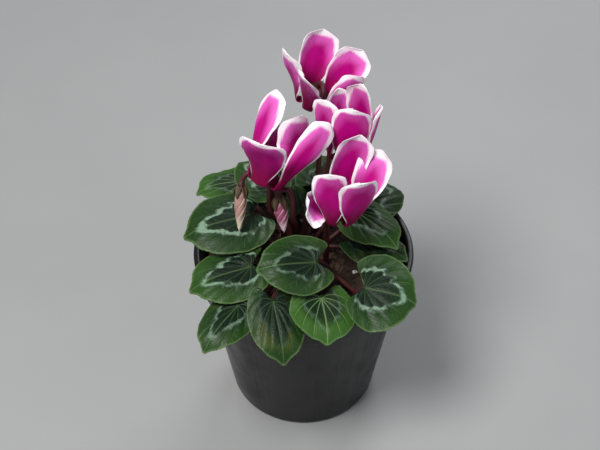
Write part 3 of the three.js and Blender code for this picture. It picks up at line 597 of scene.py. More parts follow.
def petal_shades(name):
    """Magenta with a white margin that feathers in, darker veins and a dark foot."""
    s = Shades(name)
    u, share = s.surface()
    margin = s.mark("margin")
    rays = s.streaks(u * 26.0, share * 2.2) - 0.5
    # The white margin is a thin line by the foot and broad at the tip
    width = s.ease(0.3, 0.8, share) * 0.5 + 0.42
    width = width * (s.ease(0.62, 1.0, share) * 1.3 + 1.0) * margin
    inward = s.mark("edge") / width + rays * 1.1
    white = (1 - s.ease(0.65, 1.4, inward)) * s.ease(0.2, 0.34, share)
    fine = s.streaks(u * 60.0, share * 3.0, detail=2.0)
    colour = s.mix(s.noise(6.0), *PETAL_MAGENTA)
    colour = s.mix(s.ease(0.5, 0.8, fine) * 0.45, colour, PETAL_VEIN)
    colour = s.mix(1 - s.ease(0.22, 0.66, share), colour, PETAL_FOOT)
    # Lilac spreads in from a broad margin further than from a narrow one
    blush = (1 - s.ease(0.6, 5.2, inward)) * s.ease(0.35, 0.75, share)
    spread = (margin * 1.1 - 0.45).clamped()
    colour = s.mix(blush * spread, colour, PETAL_LILAC)
    colour = s.mix(white, colour, PETAL_WHITE)
    relief = fine * 0.7 + s.cells(0.3) * 0.5
    return s.finish(colour, 0.5, s.bump(relief, 0.14), Specular_IOR_Level=0.11,
                    Subsurface_Weight=0.08, Subsurface_Scale=0.001)


def stalk_shades():
    """Dark reddish brown, redder towards the top, and greenish sepals; the top and the sepals are
    also darkened as painted shade, so the hooks read as dark gaps between the petals.
    """
    s = Shades("cyclamen_stalk")
    u, run = s.surface()
    streaks = s.streaks(u * 9.0, run * 5.0)
    colour = s.mix(s.ease(0.0, 0.5, run), *STALK_RED)
    # Redder at the top, and darkened there as painted shade where the hooks sit between the petals
    colour = s.mix(s.ease(0.7, 0.95, run) * 0.8, colour, STALK_TOP_AND_SHADE)
    colour = s.mix(s.ease(0.45, 0.75, streaks) * 0.55, colour, STALK_STREAK)
    # Sepals, their colour partly darkened as painted shade
    colour = s.mix(s.mark("green"), colour, s.mix(s.noise(1.2), *SEPAL_AND_SHADE))
    relief = streaks * 0.8 + s.cells(0.22) * 0.5
    return s.finish(colour, 0.4, s.bump(relief, 0.12), Specular_IOR_Level=0.3)


def bud_shades(name, body, tone_and_shade, tip):
    """Furled petals: body colour, darker in the folds as painted shade, pale at the edges and the
    tip.
    """
    s = Shades(name)
    u, share = s.surface()
    fold = s.math("FRACT", u)
    streaks = s.streaks(u * 5.0, share * 3.0)
    # Streaks of the bud's own darker tone
    colour = s.mix(s.ease(0.35, 0.7, streaks), tone_and_shade, body)
    # Painted shade: darker in the low groove beside each raised overlapping edge
    colour = s.mix((1 - s.ease(0.0, 0.22, fold)) * 0.6, colour, tone_and_shade)
    colour = s.mix(s.ease(0.7, 1.0, fold) * 0.3, colour, tip)
    colour = s.mix(s.ease(0.5, 0.92, share), colour, tip)
    return s.finish(colour, 0.45, s.bump(streaks, 0.12), Subsurface_Weight=0.1,
                    Subsurface_Scale=0.001)


def soil_shades():
    """Moist dark peat with pale fibres; grains of perlite are marked pale."""
    s = Shades("potting_mix")
    colour = s.mix(s.noise(2.2, detail=5.0), *PEAT)
    colour = s.mix(s.ease(0.62, 0.72, s.noise(0.8)) * 0.6, colour, FIBRE)
    colour = s.mix(s.mark("pale"), colour, s.mix(s.noise(0.6), *PERLITE))
    relief = s.noise(0.9, detail=6.0, roughness=0.7) + s.cells(1.2) * 0.6
    return s.finish(colour, s.noise(3.0) * 0.25 + 0.72, s.bump(relief, 0.55))


def tuber_shades():
    """Corky brown skin with dark cracks."""
    s = Shades("tuber_skin")
    cracks = s.ease(0.0, 0.1, s.cells(3.2, "DISTANCE_TO_EDGE"))
    colour = s.mix(cracks, CORK_CRACK, s.mix(s.noise(4.0, detail=5.0), *CORK))
    return s.finish(colour, 0.82, s.bump(cracks + s.noise(0.7, detail=5.0), 0.35))


def pot_shades():
    """Black moulded plastic with draw marks, a dull film of dust and fine scratches."""
    s = Shades("pot_plastic")
    u, run = s.surface()
    film = s.ease(0.42, 0.8, s.noise(16.0, detail=5.0))
    colour = s.mix(film * 0.5, PLASTIC, PLASTIC_DUST)
    colour = s.mix(s.ease(0.66, 0.72, s.noise(2.6)) * 0.16, colour, PLASTIC_SPLASH)
    scratch = s.streaks(u * 240.0, run * 5.0, detail=3.0)
    roughness = film * 0.2 + 0.3 + s.ease(0.5, 0.75, scratch) * 0.08
    normal = s.bump(s.noise(0.5, detail=2.0), 0.02, Normal=s.bump(scratch, 0.02))
    return s.finish(colour, roughness, normal, Specular_IOR_Level=0.22)


def anther_shades():
    s = Shades("cyclamen_anthers")
    return s.finish(s.mix(s.noise(0.5), *ANTHER), 0.7, s.bump(s.noise(0.3), 0.1))


def floor_shades():
    s = Shades("floor")
    colour = s.mix(s.noise(60.0, detail=2.0), *FLOOR_GREY)
    return s.finish(colour, 0.6, s.bump(s.noise(1.5), 0.02))


# ---------------- pot, soil and tuber

POT_SIDES = 144
POT_CORNER = 0.5  # radius of the rounded corners
POT_SHARP = 38  # degrees
DRAIN_SIDES = 32
DRAIN_CUT = 6.0  # how far a cutter reaches above and below the raised floor


def wall_radius(z):
    return BASE_RADIUS + (RIM_RADIUS - RIM_STEP - BASE_RADIUS) * z / POT_HEIGHT


def inner_radius(z):
    return wall_radius(z) - WALL


def pot_profile():
    """The pot's section, the same as in the part, from the middle of the floor round and back."""
    band = POT_HEIGHT - RIM_BAND
    top, rim = POT_HEIGHT, RIM_RADIUS
    inside = FLOOR_LIFT + WALL
    return [
        (0, 0), (FOOT_RADIUS, 0), (FOOT_RADIUS + 1.5, FLOOR_LIFT), (BASE_RADIUS - 3, FLOOR_LIFT),
        (BASE_RADIUS - 2, 0), (BASE_RADIUS - 0.5, 0), (wall_radius(1.5), 1.5),
        (wall_radius(band - 1), band - 1), (rim - 1, band), (rim - 0.4, top - 2),
        (rim, top - 1.4), (rim, top - 0.5), (rim - 0.5, top), (rim - 2.2, top),
        (rim - 2.9, top - 1), (inner_radius(band), band - 2), (inner_radius(inside), inside),
        (FOOT_RADIUS, inside), (FOOT_RADIUS - 2, WALL), (0, WALL),
    ]


def make_pot(material):
    """The moulded pot, its corners rounded, with drain holes cut through the raised floor."""
    def wobble(grid):
        # Thin plastic is never quite round between its stiff rim and its foot
        angle = np.arctan2(grid[..., 1], grid[..., 0])
        free = np.sin(math.pi * np.clip(grid[..., 2] / POT_HEIGHT, 0, 1))
        grid[..., :2] *= (1 - 0.0025 * free * (1 + np.sin(3 * angle + 0.7)))[..., None]
        return grid

    body = Body()
    lathe(body, rounded(pot_profile(), POT_CORNER), POT_SIDES, wobble)
    pot = body.build("pot", [material], "pot_plastic", from_rim=False, sharp=POT_SHARP)
    cutter = Body()
    for i in range(DRAIN_HOLES):
        centre = polar(DRAIN_CIRCLE, TURN * (i + 0.5) / DRAIN_HOLES, FLOOR_LIFT)
        line = [centre - UP * DRAIN_CUT, centre, centre + UP * DRAIN_CUT]
        tube(cutter, line, [DRAIN_RADIUS] * len(line), DRAIN_SIDES)
    mesh = bpy.data.meshes.new("drain_cutter")
    mesh.from_pydata((np.vstack(cutter.points) * MM).tolist(), [], cutter.faces)
    drill = add_object("drain_cutter", mesh)
    cut = pot.modifiers.new("drains", "BOOLEAN")
    cut.operation = "DIFFERENCE"
    cut.object = drill
    cut.solver = "EXACT"
    bpy.context.view_layer.update()
    finished = pot.evaluated_get(bpy.context.evaluated_depsgraph_get())
    finished = bpy.data.meshes.new_from_object(finished)
    pot.modifiers.clear()
    pot.data = finished
    bpy.data.objects.remove(drill)


CRUMBS = 420
PERLITE_EVERY = 9  # one crumb in so many is a grain of perlite
CRUMB_ROWS = 6
CRUMB_SIDES = 9
SOIL_RINGS = 56
SOIL_SIDES = 200


def crumb(centre, size, seed):
    """Points and faces of one lumpy ball."""
    polar_angle = np.linspace(0.25, math.pi - 0.25, CRUMB_ROWS)[:, None]
    turn = ring_angles(CRUMB_SIDES)
    ball = revolved(np.sin(polar_angle), np.cos(polar_angle), turn)
    lumps = 1 + 0.35 * np.sin(3 * turn + seed * 9) * np.sin(2 * polar_angle + seed * 5)
    stretch = vec(1, 0.6 + 0.5 * draw(seed * 3.1), 0.5 + 0.35 * draw(seed * 7.7))
    faces, _ = quads(CRUMB_ROWS, CRUMB_SIDES)
    points = centre + size * ball * lumps[..., None] * stretch
    return points, reverse(faces) + caps(CRUMB_ROWS, CRUMB_SIDES)


def soil_height(x, y):
    spot = np.stack([x, y, 0 * x], -1)
    return SOIL_TOP + 0.5 + 0.75 * rough(spot, 7.0) + 0.45 * rough(spot + 40, 1.9)


def make_soil(material):
    """Peat mix: a crumbly top, loose crumbs and perlite on it, and a plain root ball below."""
    edge = inner_radius(SOIL_TOP) - GAP
    shelf, floor = FLOOR_LIFT + WALL + GAP, WALL + GAP
    radii = np.concatenate([
        np.linspace(TUBER_RADIUS - 2.5, edge - 0.6, SOIL_RINGS),
        [edge - 0.3, edge - 0.6, inner_radius(shelf) - GAP],
        [FOOT_RADIUS - GAP, FOOT_RADIUS - 2 - GAP],
    ])[:, None]
    turn = ring_angles(SOIL_SIDES)
    x, y = radii * np.cos(turn), radii * np.sin(turn)
    z = soil_height(x, y)
    z[SOIL_RINGS:] = [[SOIL_TOP - 1.2], [SOIL_TOP - 4], [shelf], [shelf], [floor]]
    faces, _ = quads(len(radii), SOIL_SIDES)
    body = Body()
    body.add(np.stack([x, y, z], -1), reverse(faces + caps(len(radii), SOIL_SIDES)), pale=0.0)
    for n in range(CRUMBS):
        away = math.sqrt(draw(n) * (edge - 2.5) ** 2 + (1 - draw(n)) * (TUBER_RADIUS + 0.5) ** 2)
        spot = polar(away, TURN * draw(n + 500))
        perlite = n % PERLITE_EVERY == 0
        size = (0.75 + 0.6 * draw(n + 900)) if perlite else (0.5 + 1.1 * draw(n + 900) ** 2)
        spot[2] = soil_height(spot[0], spot[1]) + 0.25 * size
        points, faces = crumb(spot, size, draw(n + 77))
        body.add(points, faces, pale=1.0 if perlite else 0.0)
    body.build("potting_soil", [material], "potting_mix", from_rim=False)


TUBER_MIDDLE = SOIL_TOP - 3
TUBER_LEVELS = [-1, -0.8, -0.4, 0, 0.4, 0.75, 0.93, 1]
TUBER_ROWS = 60
TUBER_SIDES = 110


def tuber_profile():
    made = []
    for level in TUBER_LEVELS:
        half = TUBER_TOP - TUBER_MIDDLE if level > 0 else TUBER_MIDDLE - SOIL_TOP + TUBER_DEPTH
        radius = TUBER_RADIUS * math.sqrt(max(0.0, 1 - abs(level) ** 2.6))
        made.append((radius, TUBER_MIDDLE + level * half))
    return made


def crown_height(x, y):
    """Height of the crown above the surface that the pot stands on."""
    upper = tuber_profile()[TUBER_LEVELS.index(0):]
    return np.interp(math.hypot(x, y), *np.array(upper[::-1]).T)


def make_tuber(material):
    """The flattened corm, with a lumpy skin."""
    def lumps(grid):
        grid += unit(grid - vec(0, 0, SOIL_TOP)) * (0.5 * rough(grid, 6.0) - 0.15)[..., None]
        return grid

    profile = np.array(tuber_profile())
    fine, at = np.linspace(0, 1, TUBER_ROWS), np.linspace(0, 1, len(profile))
    body = Body()
    lathe(body, np.stack([np.interp(fine, at, p) for p in profile.T], -1), TUBER_SIDES, lumps)
    body.build("tuber", [material], "tuber_skin", from_rim=False)


# ---------------- leaves

def leaf_table():
    """Every leaf as joint, tip, width, roll, reach and phase, the same as in the part."""
    rows = [(vec(*joint), vec(*tip), width, roll) for joint, tip, width, roll in FRONT_LEAVES]
    for r, (count, start, end, away, reach, rise, step, fall, width) in enumerate(BACK_RINGS):
        for i in range(count):
            angle = math.radians(start + (end - start) * (i / (count - 1)))
            skew = angle + 0.3 * (draw(20 + 7 * r + i) - 0.5)
            level = i % 3
            joint = polar(away - STEP_IN * step * level, angle, rise + step * level)
            narrowed = width - 2 * draw(40 + 7 * r + i)
            rows.append((joint, joint + polar(reach, skew, -fall), narrowed, 0))
    return [{
        "joint": joint, "tip": tip, "width": width, "roll": roll,
        "reach": float(np.linalg.norm(tip - joint)), "phase": TURN * draw(i),
    } for i, (joint, tip, width, roll) in enumerate(rows)]


def blade_axes(leaf):
    x = unit(leaf["tip"] - leaf["joint"])
    y = turned_about(unit(np.cross(UP, x)), x, math.radians(leaf["roll"]))
    return np.array([x, y, np.cross(x, y)])


FINE_TEETH = 48
BLADE_SECTORS = 192
BLADE_SHARES = np.concatenate([np.linspace(0.03, 0.9, 17), [0.94, 0.97, 0.99, 1.0]])


def vein_relief(share, angle):
    """How far the blade sinks along its main veins, 0 to 1, and how far off they are."""
    warped = np.abs(angle) / (1 - VEIN_CURVE * share**1.5)
    off = np.abs(warped / VEIN_SPACING - np.round(warped / VEIN_SPACING)) * VEIN_SPACING
    return np.exp(-((off * share * BLADE_RADIUS / 0.55) ** 2)), off / VEIN_SPACING


def blade_surface(leaf, share, angle):
    """The blade's upper face in its own axes, with fine teeth and swelling between its veins."""
    notch = 0.37 * np.exp(-(((math.pi - np.abs(angle)) / 0.38) ** 2))
    point = 0.07 * np.exp(-((angle / 0.2) ** 2))
    teeth = 0.007 * ease(0.85, 1, share) * (np.abs(np.sin(0.5 * FINE_TEETH * angle)) - 0.5)
    size = share * (1 + TOOTH * share * np.cos(BLADE_SCALLOPS * angle) + teeth)
    x = leaf["reach"] * size * (0.26 + 0.67 * np.cos(angle) + point + notch)
    y = leaf["width"] / 2 * size * np.sin(angle)
    along = x / leaf["reach"]
    bow = np.where(along < 0, -3 * along**2, 6.75 * along**2 * (1 - along))
    across = 2 * y / leaf["width"]
    funnel = 0.7 * (1 - np.exp(-((np.hypot(x, y) / 5) ** 2)))
    wave = BLADE_WAVE * share**3 * np.sin(BLADE_WAVES * angle + leaf["phase"])
    sink, between = vein_relief(share, angle)
    quilt = 0.45 * between * np.sin(math.pi * np.clip(share, 0, 1)) - 0.16 * sink
    ripple = 0.12 * share**4 * np.sin(17 * angle + 3 * leaf["phase"])
    z = leaf["reach"] / BLADE_REACH * (BLADE_BOW * bow - BLADE_DROOP * across**2)
    return np.stack([x, y, z + funnel + wave + quilt + ripple], -1)


# Looks of the leaves in view: brightness of the margin, strength of the silver band, paleness of
# the veins, darkness of the middle, and olive patches
LOOK_MARKS = ("bright", "silver", "rays", "heart", "olive")
LEAF_LOOKS = [
    (0.9, 0.3, 0.7, 0.5, 0.3), (0.25, 1.3, 0, 0.9, 0), (0.55, 1.1, 0.1, 1.1, 0.1),
    (0.35, 0.6, 0.2, 1, 0.6), (0.3, 0.1, 0.1, 1.2, 1), (0.35, 0.55, 0.05, 1.2, 0.15),
    (1.5, 0.25, 1.1, 0.25, 0.3), (0.4, 1.2, 0.1, 0.9, 0), (0.6, 0.7, 0.8, 0.6, 0),
    (0.15, 0.2, 0, 1, 0.8), (0.3, 0.3, 0, 1, 0),
]


def leaf_look(index):
    if index < len(LEAF_LOOKS):
        return LEAF_LOOKS[index]
    silver, bright, rays, olive = (draw(index + start) for start in (60, 90, 30, 70))
    return 0.2 + 0.5 * bright, 0.4 + 0.8 * silver, 0.4 * rays, 1, 0.4 * olive


def make_leaf(index, leaf, materials):
    """One blade: thinner towards the margin, with its own silver and brightness."""
    angle = (np.arange(BLADE_SECTORS) - BLADE_SECTORS / 2) * TURN / BLADE_SECTORS
    share = BLADE_SHARES[:, None]
    top = blade_surface(leaf, share, angle)
    sink, _ = vein_relief(share, angle)
    thickness = 0.55 - 0.3 * ease(0.55, 1, share) + 0.25 * sink * (1 - share)
    under = top - UP * thickness[..., None]
    rows, columns = top.shape[:2]
    u = np.append(angle, angle[0] + TURN) / (1 - VEIN_CURVE * share**1.5) / ANGLE_SPAN + 0.5
    faces, places = quads(rows, columns, u, BLADE_SHARES)
    faces.append(list(range(columns))[::-1])
    places.append([(0.5, 0.0)] * columns)
    axes, looks = blade_axes(leaf), dict(zip(LOOK_MARKS, leaf_look(index)))
    body = Body()
    body.add(leaf["joint"] + top.reshape(-1, 3) @ axes, faces, places, **looks)
    body.add(leaf["joint"] + under.reshape(-1, 3) @ axes, reverse(faces), reverse(places), kind=1,
             **looks)
    upper, lower = (rows - 1) * columns, (2 * rows - 1) * columns
    for j in range(columns):
        k = (j + 1) % columns
        here, there = (u[-1, j], 1.0), (u[-1, j + 1], 1.0)
        body.faces.append([lower + j, lower + k, upper + k, upper + j])
        body.kinds.append(0)
        body.uv += [here, there, there, here]
    body.build(f"leaf_{index + 1:02d}_blade", materials, "leaf_green")


# ---------------- blooms and buds

def bloom_frame(bloom):
    """The bloom's mouth, petal tips, axes and the angle of its first petal."""
    mouth = vec(*bloom[0])
    tips = [vec(*tip) for tip, _, _ in bloom[1]]
    z = unit(sum(tip - mouth for tip in tips))
    x = unit(vec(1, 0, 0) - z * z[0])
    axes = np.array([x, np.cross(z, x), z])
    lean = [math.atan2((tip - mouth) @ axes[1], (tip - mouth) @ axes[0]) - TURN * k / PETALS
            for k, tip in enumerate(tips)]
    first = math.atan2(sum(map(math.sin, lean)), sum(map(math.cos, lean)))
    return mouth, tips, axes, first


def radial(axes, angle):
    return axes[0] * math.cos(angle) + axes[1] * math.sin(angle)


# How broad and soft the white is at the edge of each petal; 1 is narrow and crisp
WHITE_MARGINS = [
    (1.1, 1.25, 1.1, 1.5, 1.0), (1.1, 1.25, 0.9, 1.2, 0.8),
    (0.8, 0.85, 1.1, 1.1, 1.0), (0.85, 0.85, 1.5, 1.0, 1.4),
]
PETAL_ROWS = 64
PETAL_COLUMNS = 29
COLUMN_CROWDING = 0.82  # the nearer to 1, the closer the columns lie at the petal's edges
TUBE_SIDES = 50
TUBE_CORNER = 0.6
TUBE_MAP = (0.5, 0.12)  # the tube has the colour of a petal's foot
FROM_EDGE = 6.0  # mm, so far from any edge that no white shows
ANTHER_ROWS = 12
ANTHER_RADIUS = 1.45
STYLE = [(0, 0.3), (-0.8, 0.26), (-1.5, 0.24), (-2.1, 0.3)]  # height and radius


def petal_line(mouth, axes, out, tip):
    """The petal's middle line: out of the mouth, folded back over the rim and up to the tip."""
    def at(r, z):
        return mouth + out * r + axes[2] * z

    fold = at(FOLD_RADIUS, FOLD_RISE)
    third = np.linalg.norm(tip - fold) / 3
    up = unit(axes[2] + out * PETAL_FLARE)
    before_tip = tip - unit(tip - fold) * third + out * PETAL_BOW
    rise = bezier(fold, fold + up * third, before_tip, tip, np.arange(7) / 6)
    return [*(at(MOUTH_RADIUS + r, z) for r, z in CLAW), *rise]


def make_petal(body, mouth, axes, out, tip, turn, width, margin, seed):
    """One petal, cupped, waved and grooved along its middle line."""
    # Stations lie closer at the fold and at the tip
    share = np.linspace(0, 1, PETAL_ROWS)
    share = share - 0.03 * np.sin(TURN * share)
    share = (share / share[-1]) ** 1.02
    centre, tangent = smooth_line(petal_line(mouth, axes, out, tip), share)
    side = np.cross(axes[2], out)
    side = unit(side - tangent * dot(side, tangent))
    roll = (math.radians(turn) * np.clip((share - 0.15) / 0.5, 0, 1))[:, None]
    side = turned_about(side, tangent, roll)
    face = np.cross(side, tangent)
    half = width / 2 * through(PETAL_WIDTHS, share)
    half *= np.sqrt(np.clip(1 - ((share - 0.9) / 0.1008) ** 2 * (share > 0.9), 0, 1))
    across = np.sin(np.linspace(-1, 1, PETAL_COLUMNS) * math.pi / 2 * COLUMN_CROWDING)
    across /= math.sin(math.pi / 2 * COLUMN_CROWDING)
    s, a, h = share[:, None], across[None, :], half[:, None]
    cup = -PETAL_CUP * 2 * h * a**2 * np.clip(3 * s, 0, 1)
    wave = PETAL_WAVE * a**2 * s * np.sin(9 * s + seed + 1.5 * a)
    ruffle = 0.3 * a**4 * ease(0.3, 0.7, s) * np.sin(24 * s + 2 * seed + 2.5 * a)
    groove = -0.45 * np.exp(-((a / 0.22) ** 2)) * ease(0.15, 0.4, s) * (1 - ease(0.7, 1, s))
    ribs = 0.14 * ease(0.15, 0.4, s) * (1 - s) * np.cos(3.5 * math.pi * a) + groove
    grid = (centre[:, None] + side[:, None] * (a * h)[..., None]
            + face[:, None] * (cup + wave + ruffle + ribs)[..., None])
    length = np.linalg.norm(np.diff(centre, axis=0), axis=1).sum()
    edge = np.minimum((1 - np.abs(a)) * h, (1 - s) * length * 0.9 + 0 * a)
    thickness = 0.5 - 0.25 * ease(0.6, 1.0, np.abs(a)) - 0.1 * s
    sheet(body, grid, thickness, (across + 1) / 2, share, edge=edge, margin=margin)


def make_bloom(index, bloom, petal_material, anther_material):
    """Corolla tube and five petals in one piece, with the cone of anthers in the mouth."""
    mouth, tips, axes, first = bloom_frame(bloom)
    body = Body()
    for k, (tip, (_, turn, width), margin) in enumerate(zip(tips, bloom[1], WHITE_MARGINS[index])):
        out = radial(axes, first + TURN * k / PETALS)
        make_petal(body, mouth, axes, out, tip, turn, width, margin, PETALS * index + k)

    def lobed(grid):
        # The tube bulges behind each petal
        angle = np.arctan2(grid[..., 1], grid[..., 0]) - first
        grid[..., :2] *= (1 + 0.05 * np.cos(PETALS * angle))[..., None]
        return grid

    tube_body = Body()
    r, top = MOUTH_RADIUS, TUBE_HEIGHT
    profile = [(0, top), (r - 1.4, top), (r - 0.2, top - 1.8), (r, 0), (r - 0.8, -0.1),
               (r - 1.1, top - 2.2), (0, top - 1)]
    lathe(tube_body, rounded(profile, TUBE_CORNER), TUBE_SIDES, lobed)
    body.add(mouth + tube_body.points[0] @ axes, reverse(tube_body.faces),
             [[TUBE_MAP] * len(f) for f in tube_body.faces], edge=FROM_EDGE, margin=1.0)
    name = f"bloom_{index + 1:02d}"
    body.build(name, [petal_material], "petal_magenta")

    cone = Body()
    heights = np.linspace(TUBE_HEIGHT - 1.5, -0.6, ANTHER_ROWS)
    sizes = ANTHER_RADIUS * np.sqrt(np.linspace(1, 0.02, ANTHER_ROWS))
    tube(cone, mouth + heights[:, None] * axes[2], sizes, 15)
    tube(cone, [mouth + z * axes[2] for z, _ in STYLE], [radius for _, radius in STYLE], 8)
    cone.build(f"{name}_anthers", [anther_material])


def bud_frame(bud):
    """The bud's top and axes: towards the stalk's side, across, and down along the bud."""
    top, down = vec(*bud[0]), unit(vec(*bud[1]))
    home = turned_about(vec(-top[0], -top[1], 0), UP, math.radians(bud[5]))
    aside = unit(home - down * (home @ down))
    return top, np.array([aside, np.cross(down, aside), down])


BUD_ROWS = 56
BUD_SIDES = 80
BUD_POINT = 0.12  # smallest radius, at the tip
FOLD_SLANT = 2.2  # folds that the petals' edges run round, from top to tip


def make_bud(index, bud, material):
    """Furled petals wound round each other, with raised overlapping edges."""
    top, axes = bud_frame(bud)
    length, radius = bud[2], bud[3]
    share = np.sin(np.linspace(0.02, 1, BUD_ROWS) * math.pi / 2)[:, None]
    share = 0.5 * share + 0.5 * np.linspace(0.01, 1, BUD_ROWS)[:, None]
    angle = ring_angles(BUD_SIDES)
    size = np.maximum(radius * np.interp(share, *np.array(BUD_SWELL, float).T), BUD_POINT)
    winding = np.append(angle, TURN) * PETALS / TURN - FOLD_SLANT * share
    fold = winding[:, :-1] - np.floor(winding[:, :-1])
    lip = ease(0.93, 1.0, fold)
    step = 0.14 * (fold - 0.5) * (1 - lip) - 0.07 * lip
    r = size * (1 + step * ease(0.02, 0.2, share))
    turn = angle + BUD_TWIST * share
    grid = revolved(r, share * length, turn)
    faces, places = quads(BUD_ROWS, BUD_SIDES, winding + 10, share[:, 0])
    body = Body()
    body.add(top + grid.reshape(-1, 3) @ axes, faces + caps(BUD_ROWS, BUD_SIDES),
             places + cap_places(BUD_SIDES))
    body.build(f"bud_{index + 1:02d}", [material], "bud_pink")


# ---------------- stalks

LEAF_LIFT = 5  # how far the curve is led straight up at its start
FLOWER_LIFT = 24
CALYX_TURN = 0.4  # of a bud's sepals, in radians
SEPAL_HALF_WIDTH = 1.15
SEPAL_THICKNESS = 0.34
SEPAL_ROWS = 14
SEPAL_COLUMNS = 7
STALK_SIDES = 14
LEAF_STALK_ROWS = 56
FLOWER_STALK_ROWS = 90


def stalk_line(stalk):
    """From the hole in the crown, straight up out of it and on through the stalk's points."""
    x, y, _ = stalk["spot"]
    crown = crown_height(x, y) - POT_HEIGHT
    foot, mouth = vec(x, y, crown - HOLE_DEPTH), vec(x, y, crown + 2)
    first, second = stalk["points"][:2]
    away = unit(first - second) * np.linalg.norm(first - mouth) * 0.3
    rise = bezier(mouth, mouth + UP * stalk["lift"], first + away, first, [0.2, 0.4, 0.6, 0.8])
    return [foot, mouth, *rise, *stalk["points"]]


def hook_points(top, up, aside, radius):
    """The bend at the top of a flower's stalk: from below, over, and down onto the calyx."""
    def at(s, u):
        return top + aside * s + up * u

    bend = [at(radius * (1 + math.cos(a)), 0.5 + radius * math.sin(a))
            for a in map(math.radians, (0, 45, 90, 135))]
    side = at(2 * radius + 0.2, -HOOK_DROP)
    return [side - UP * HOOK_TAIL, side, *bend, at(0, 1), at(0, 0)]


def way_out(axes, first, mouth):
    """The gap between two petals that lies nearest to the middle of the plant."""
    gaps = [first + (2 * k + 1) * math.pi / PETALS for k in range(PETALS)]
    return min(gaps, key=lambda angle: radial(axes, angle)[:2] @ mouth[:2])


def flower_stalk(name, seat, axes, aside, hook, target, *calyx):
    """The stalk of a bloom or bud that ends on a seat; the last of axes points up from there."""
    top = seat + axes[2] * CALYX_HEIGHT * CALYX_SEAT
    return {"name": name, "points": hook_points(top, axes[2], aside, hook), "target": target,
            "radius": FLOWER_STALK_RADIUS, "lift": FLOWER_LIFT, "calyx": (seat, axes, *calyx)}


def stalk_table(leaves):
    """Every stalk with its points, target and place on the crown."""
    stalks = []
    for i, leaf in enumerate(leaves):
        normal = blade_axes(leaf)[2]
        end, before = leaf["joint"] - normal * (0.8 + 2.6 * GAP), leaf["joint"] - normal * 4.5
        stalks.append({
            "name": f"leaf_{i + 1:02d}_stalk", "points": [before, end], "target": leaf["joint"],
            "radius": LEAF_STALK_RADIUS, "lift": LEAF_LIFT,
            "reach_on": leaf["joint"] - normal * 0.35,
        })
    for i, bloom in enumerate(BLOOMS):
        mouth, _, axes, first = bloom_frame(bloom)
        seat = mouth + axes[2] * (TUBE_HEIGHT + GAP)
        aside = radial(axes, way_out(axes, first, mouth))
        stalks.append(flower_stalk(
            f"bloom_{i + 1:02d}_stalk", seat, axes, aside, BLOOM_HOOK, mouth,
            first + math.pi / PETALS, MOUTH_RADIUS - 0.9, MOUTH_RADIUS + 0.25, 4.4, 0.25))
    for i, bud in enumerate(BUDS):
        top, (aside, across, down) = bud_frame(bud)
        stalks.append(flower_stalk(
            f"bud_{i + 1:02d}_stalk", top - down * GAP, np.array([aside, -across, -down]), aside,
            bud[4], top, CALYX_TURN, 0.68 * bud[3], 1.08 * bud[3], 4.6, 1.0))
    free = [polar(SPOT_SPACING * math.sqrt(n + 0.6), n * GOLDEN_ANGLE + CROWN_TURN)
            for n in range(len(stalks))]

    def reach(stalk):
        return math.hypot(*stalk["target"][:2])

    for stalk in sorted(stalks, key=reach, reverse=True):
        lean = min(11, 2 + 0.28 * reach(stalk))
        wanted = vec(*stalk["target"][:2], 0) / reach(stalk) * lean
        free.sort(key=lambda spot: np.linalg.norm(spot - wanted))
        stalk["spot"] = free.pop(0)
    return stalks


def add_calyx(body, seat, axes, first, inner, outer, length, green):
    """Five pointed sepals that clasp the tube or the bud."""
    profile = [(0.5, 1.5), (0.62 * inner, 1.1), (inner + 0.15, -0.1), (outer, -0.42 * length),
               (outer + 0.2, -0.8 * length)]
    share, across = np.linspace(0, 1, SEPAL_ROWS), np.linspace(-1, 1, SEPAL_COLUMNS)
    half = SEPAL_HALF_WIDTH * np.sqrt(np.clip(1 - share**1.6, 0.0006, 1))
    half = (half * (0.75 + 0.45 * np.sin(math.pi * share)))[:, None]
    cup = -0.34 * half * across**2
    for k in range(PETALS):
        out = radial(axes, first + TURN * k / PETALS)
        side = np.cross(axes[2], out)
        centre, tangent = smooth_line([seat + out * r + axes[2] * z for r, z in profile], share)
        face = np.cross(side, tangent)
        grid = centre[:, None] + side * (across * half)[..., None] + face[:, None] * cup[..., None]
        sheet(body, grid, SEPAL_THICKNESS, (across + 1) / 2, share, green=green)


def make_stalk(stalk, material):
    """A round stem, thicker at the foot, that flares where it meets the blade or the calyx."""
    points = stalk_line(stalk)
    flower = "calyx" in stalk
    if not flower:
        points[-1] = stalk["reach_on"]
    share = np.linspace(0, 1, FLOWER_STALK_ROWS if flower else LEAF_STALK_ROWS)
    line, _ = smooth_line(points, share)
    size = stalk["radius"] * (1.06 - 0.16 * ease(0.1, 0.8, share))
    knobs = 1 + 0.03 * np.sin(23 * share + 40 * draw(len(points) + stalk["spot"][0]))
    flare = (0.45 if flower else 0.3) * ease(0.965, 1, share)
    size = size * knobs * (1 + flare + 0.18 * (1 - ease(0, 0.12, share)))
    body = Body()
    tube(body, line, size, STALK_SIDES, green=0.35 * ease(0.9, 1.0, share))
    if flower:
        add_calyx(body, *stalk["calyx"])
    body.build(stalk["name"], [material], "stalk_red")


# ---------------- floor, light and camera

FOCAL = 1277 / 600  # focal length as a share of the picture's width
SENSOR = 36.0
VIEW_ELEVATION = math.radians(46.1)
VIEW_DISTANCE = 523.0  # from the middle of the rim
AIM = vec(-1.5, 6.8, 6.6)  # from the middle of the rim
FLOOR_REACH = 3.0  # metres
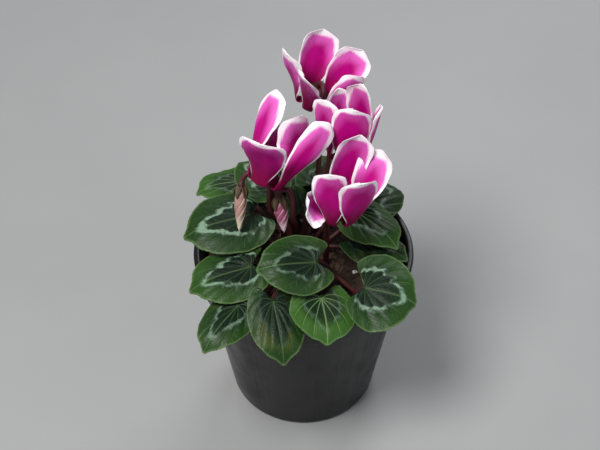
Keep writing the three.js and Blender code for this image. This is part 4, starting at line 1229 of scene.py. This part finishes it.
# Lamps: place and size in metres, watts, colour
LAMPS = {
    "key": ((-0.35, -0.35, 1.0), 0.4, 12, (1, 0.98, 0.95)),
    "fill": ((0.8, -0.5, 0.5), 0.7, 2, (0.93, 0.97, 1)),
    "back": ((0.25, 0.8, 0.75), 0.5, 4, (1, 1, 1)),
}
LAMPS_AIM = Vector((0, 0, 0.09))
SKY = (0.93, 0.96, 1, 1)
SKY_STRENGTH = 0.25


def to_metres(point):
    return Vector((np.asarray(point, float) + UP * POT_HEIGHT) * MM)


def face_towards(thing, target):
    thing.rotation_euler = (target - thing.location).to_track_quat("-Z", "Y").to_euler()


def make_camera():
    data = bpy.data.cameras.new("camera")
    data.sensor_fit = "HORIZONTAL"
    data.sensor_width = SENSOR
    data.lens = SENSOR * FOCAL
    data.clip_start, data.clip_end = 0.01, 20
    camera = add_object("camera", data)
    back = vec(0, -math.cos(VIEW_ELEVATION), math.sin(VIEW_ELEVATION))
    camera.location = to_metres(VIEW_DISTANCE * back)
    face_towards(camera, to_metres(AIM))
    bpy.context.scene.camera = camera


def make_stage():
    """A plain floor, a bright soft light from above, and soft fills."""
    mesh = bpy.data.meshes.new("floor")
    corners = [(-1, -1, 0), (1, -1, 0), (1, 1, 0), (-1, 1, 0)]
    mesh.from_pydata((np.array(corners) * FLOOR_REACH).tolist(), [], [(0, 1, 2, 3)])
    mesh.materials.append(floor_shades())
    floor = add_object("floor", mesh)
    for name, (place, size, power, colour) in LAMPS.items():
        data = bpy.data.lights.new(name, "AREA")
        data.shape = "DISK"
        data.size, data.energy, data.color = size, power, colour
        lamp = add_object(name, data)
        lamp.location = place
        face_towards(lamp, LAMPS_AIM)
    world = bpy.data.worlds.new("studio")
    world.use_nodes = True
    background = world.node_tree.nodes["Background"]
    background.inputs["Color"].default_value = SKY
    background.inputs["Strength"].default_value = SKY_STRENGTH
    bpy.context.scene.world = world
    bpy.context.scene.view_settings.view_transform = "Standard"


# ---------------- assembly

def make_plant():
    leaves = leaf_table()
    blade = [leaf_shades("cyclamen_leaf", True), leaf_shades("cyclamen_leaf_under", False)]
    for i, leaf in enumerate(leaves):
        make_leaf(i, leaf, blade)
    stalk_material = stalk_shades()
    for stalk in stalk_table(leaves):
        make_stalk(stalk, stalk_material)
    petal_material, anther_material = petal_shades("cyclamen_petal"), anther_shades()
    for i, bloom in enumerate(BLOOMS):
        make_bloom(i, bloom, petal_material, anther_material)
    bud_materials = [bud_shades("bud_cream", *BUD_CREAM), bud_shades("bud_mauve", *BUD_MAUVE)]
    for i, bud in enumerate(BUDS):
        make_bud(i, bud, bud_materials[i])


make_camera()
make_stage()
make_pot(pot_shades())
make_soil(soil_shades())
make_tuber(tuber_shades())
make_plant()
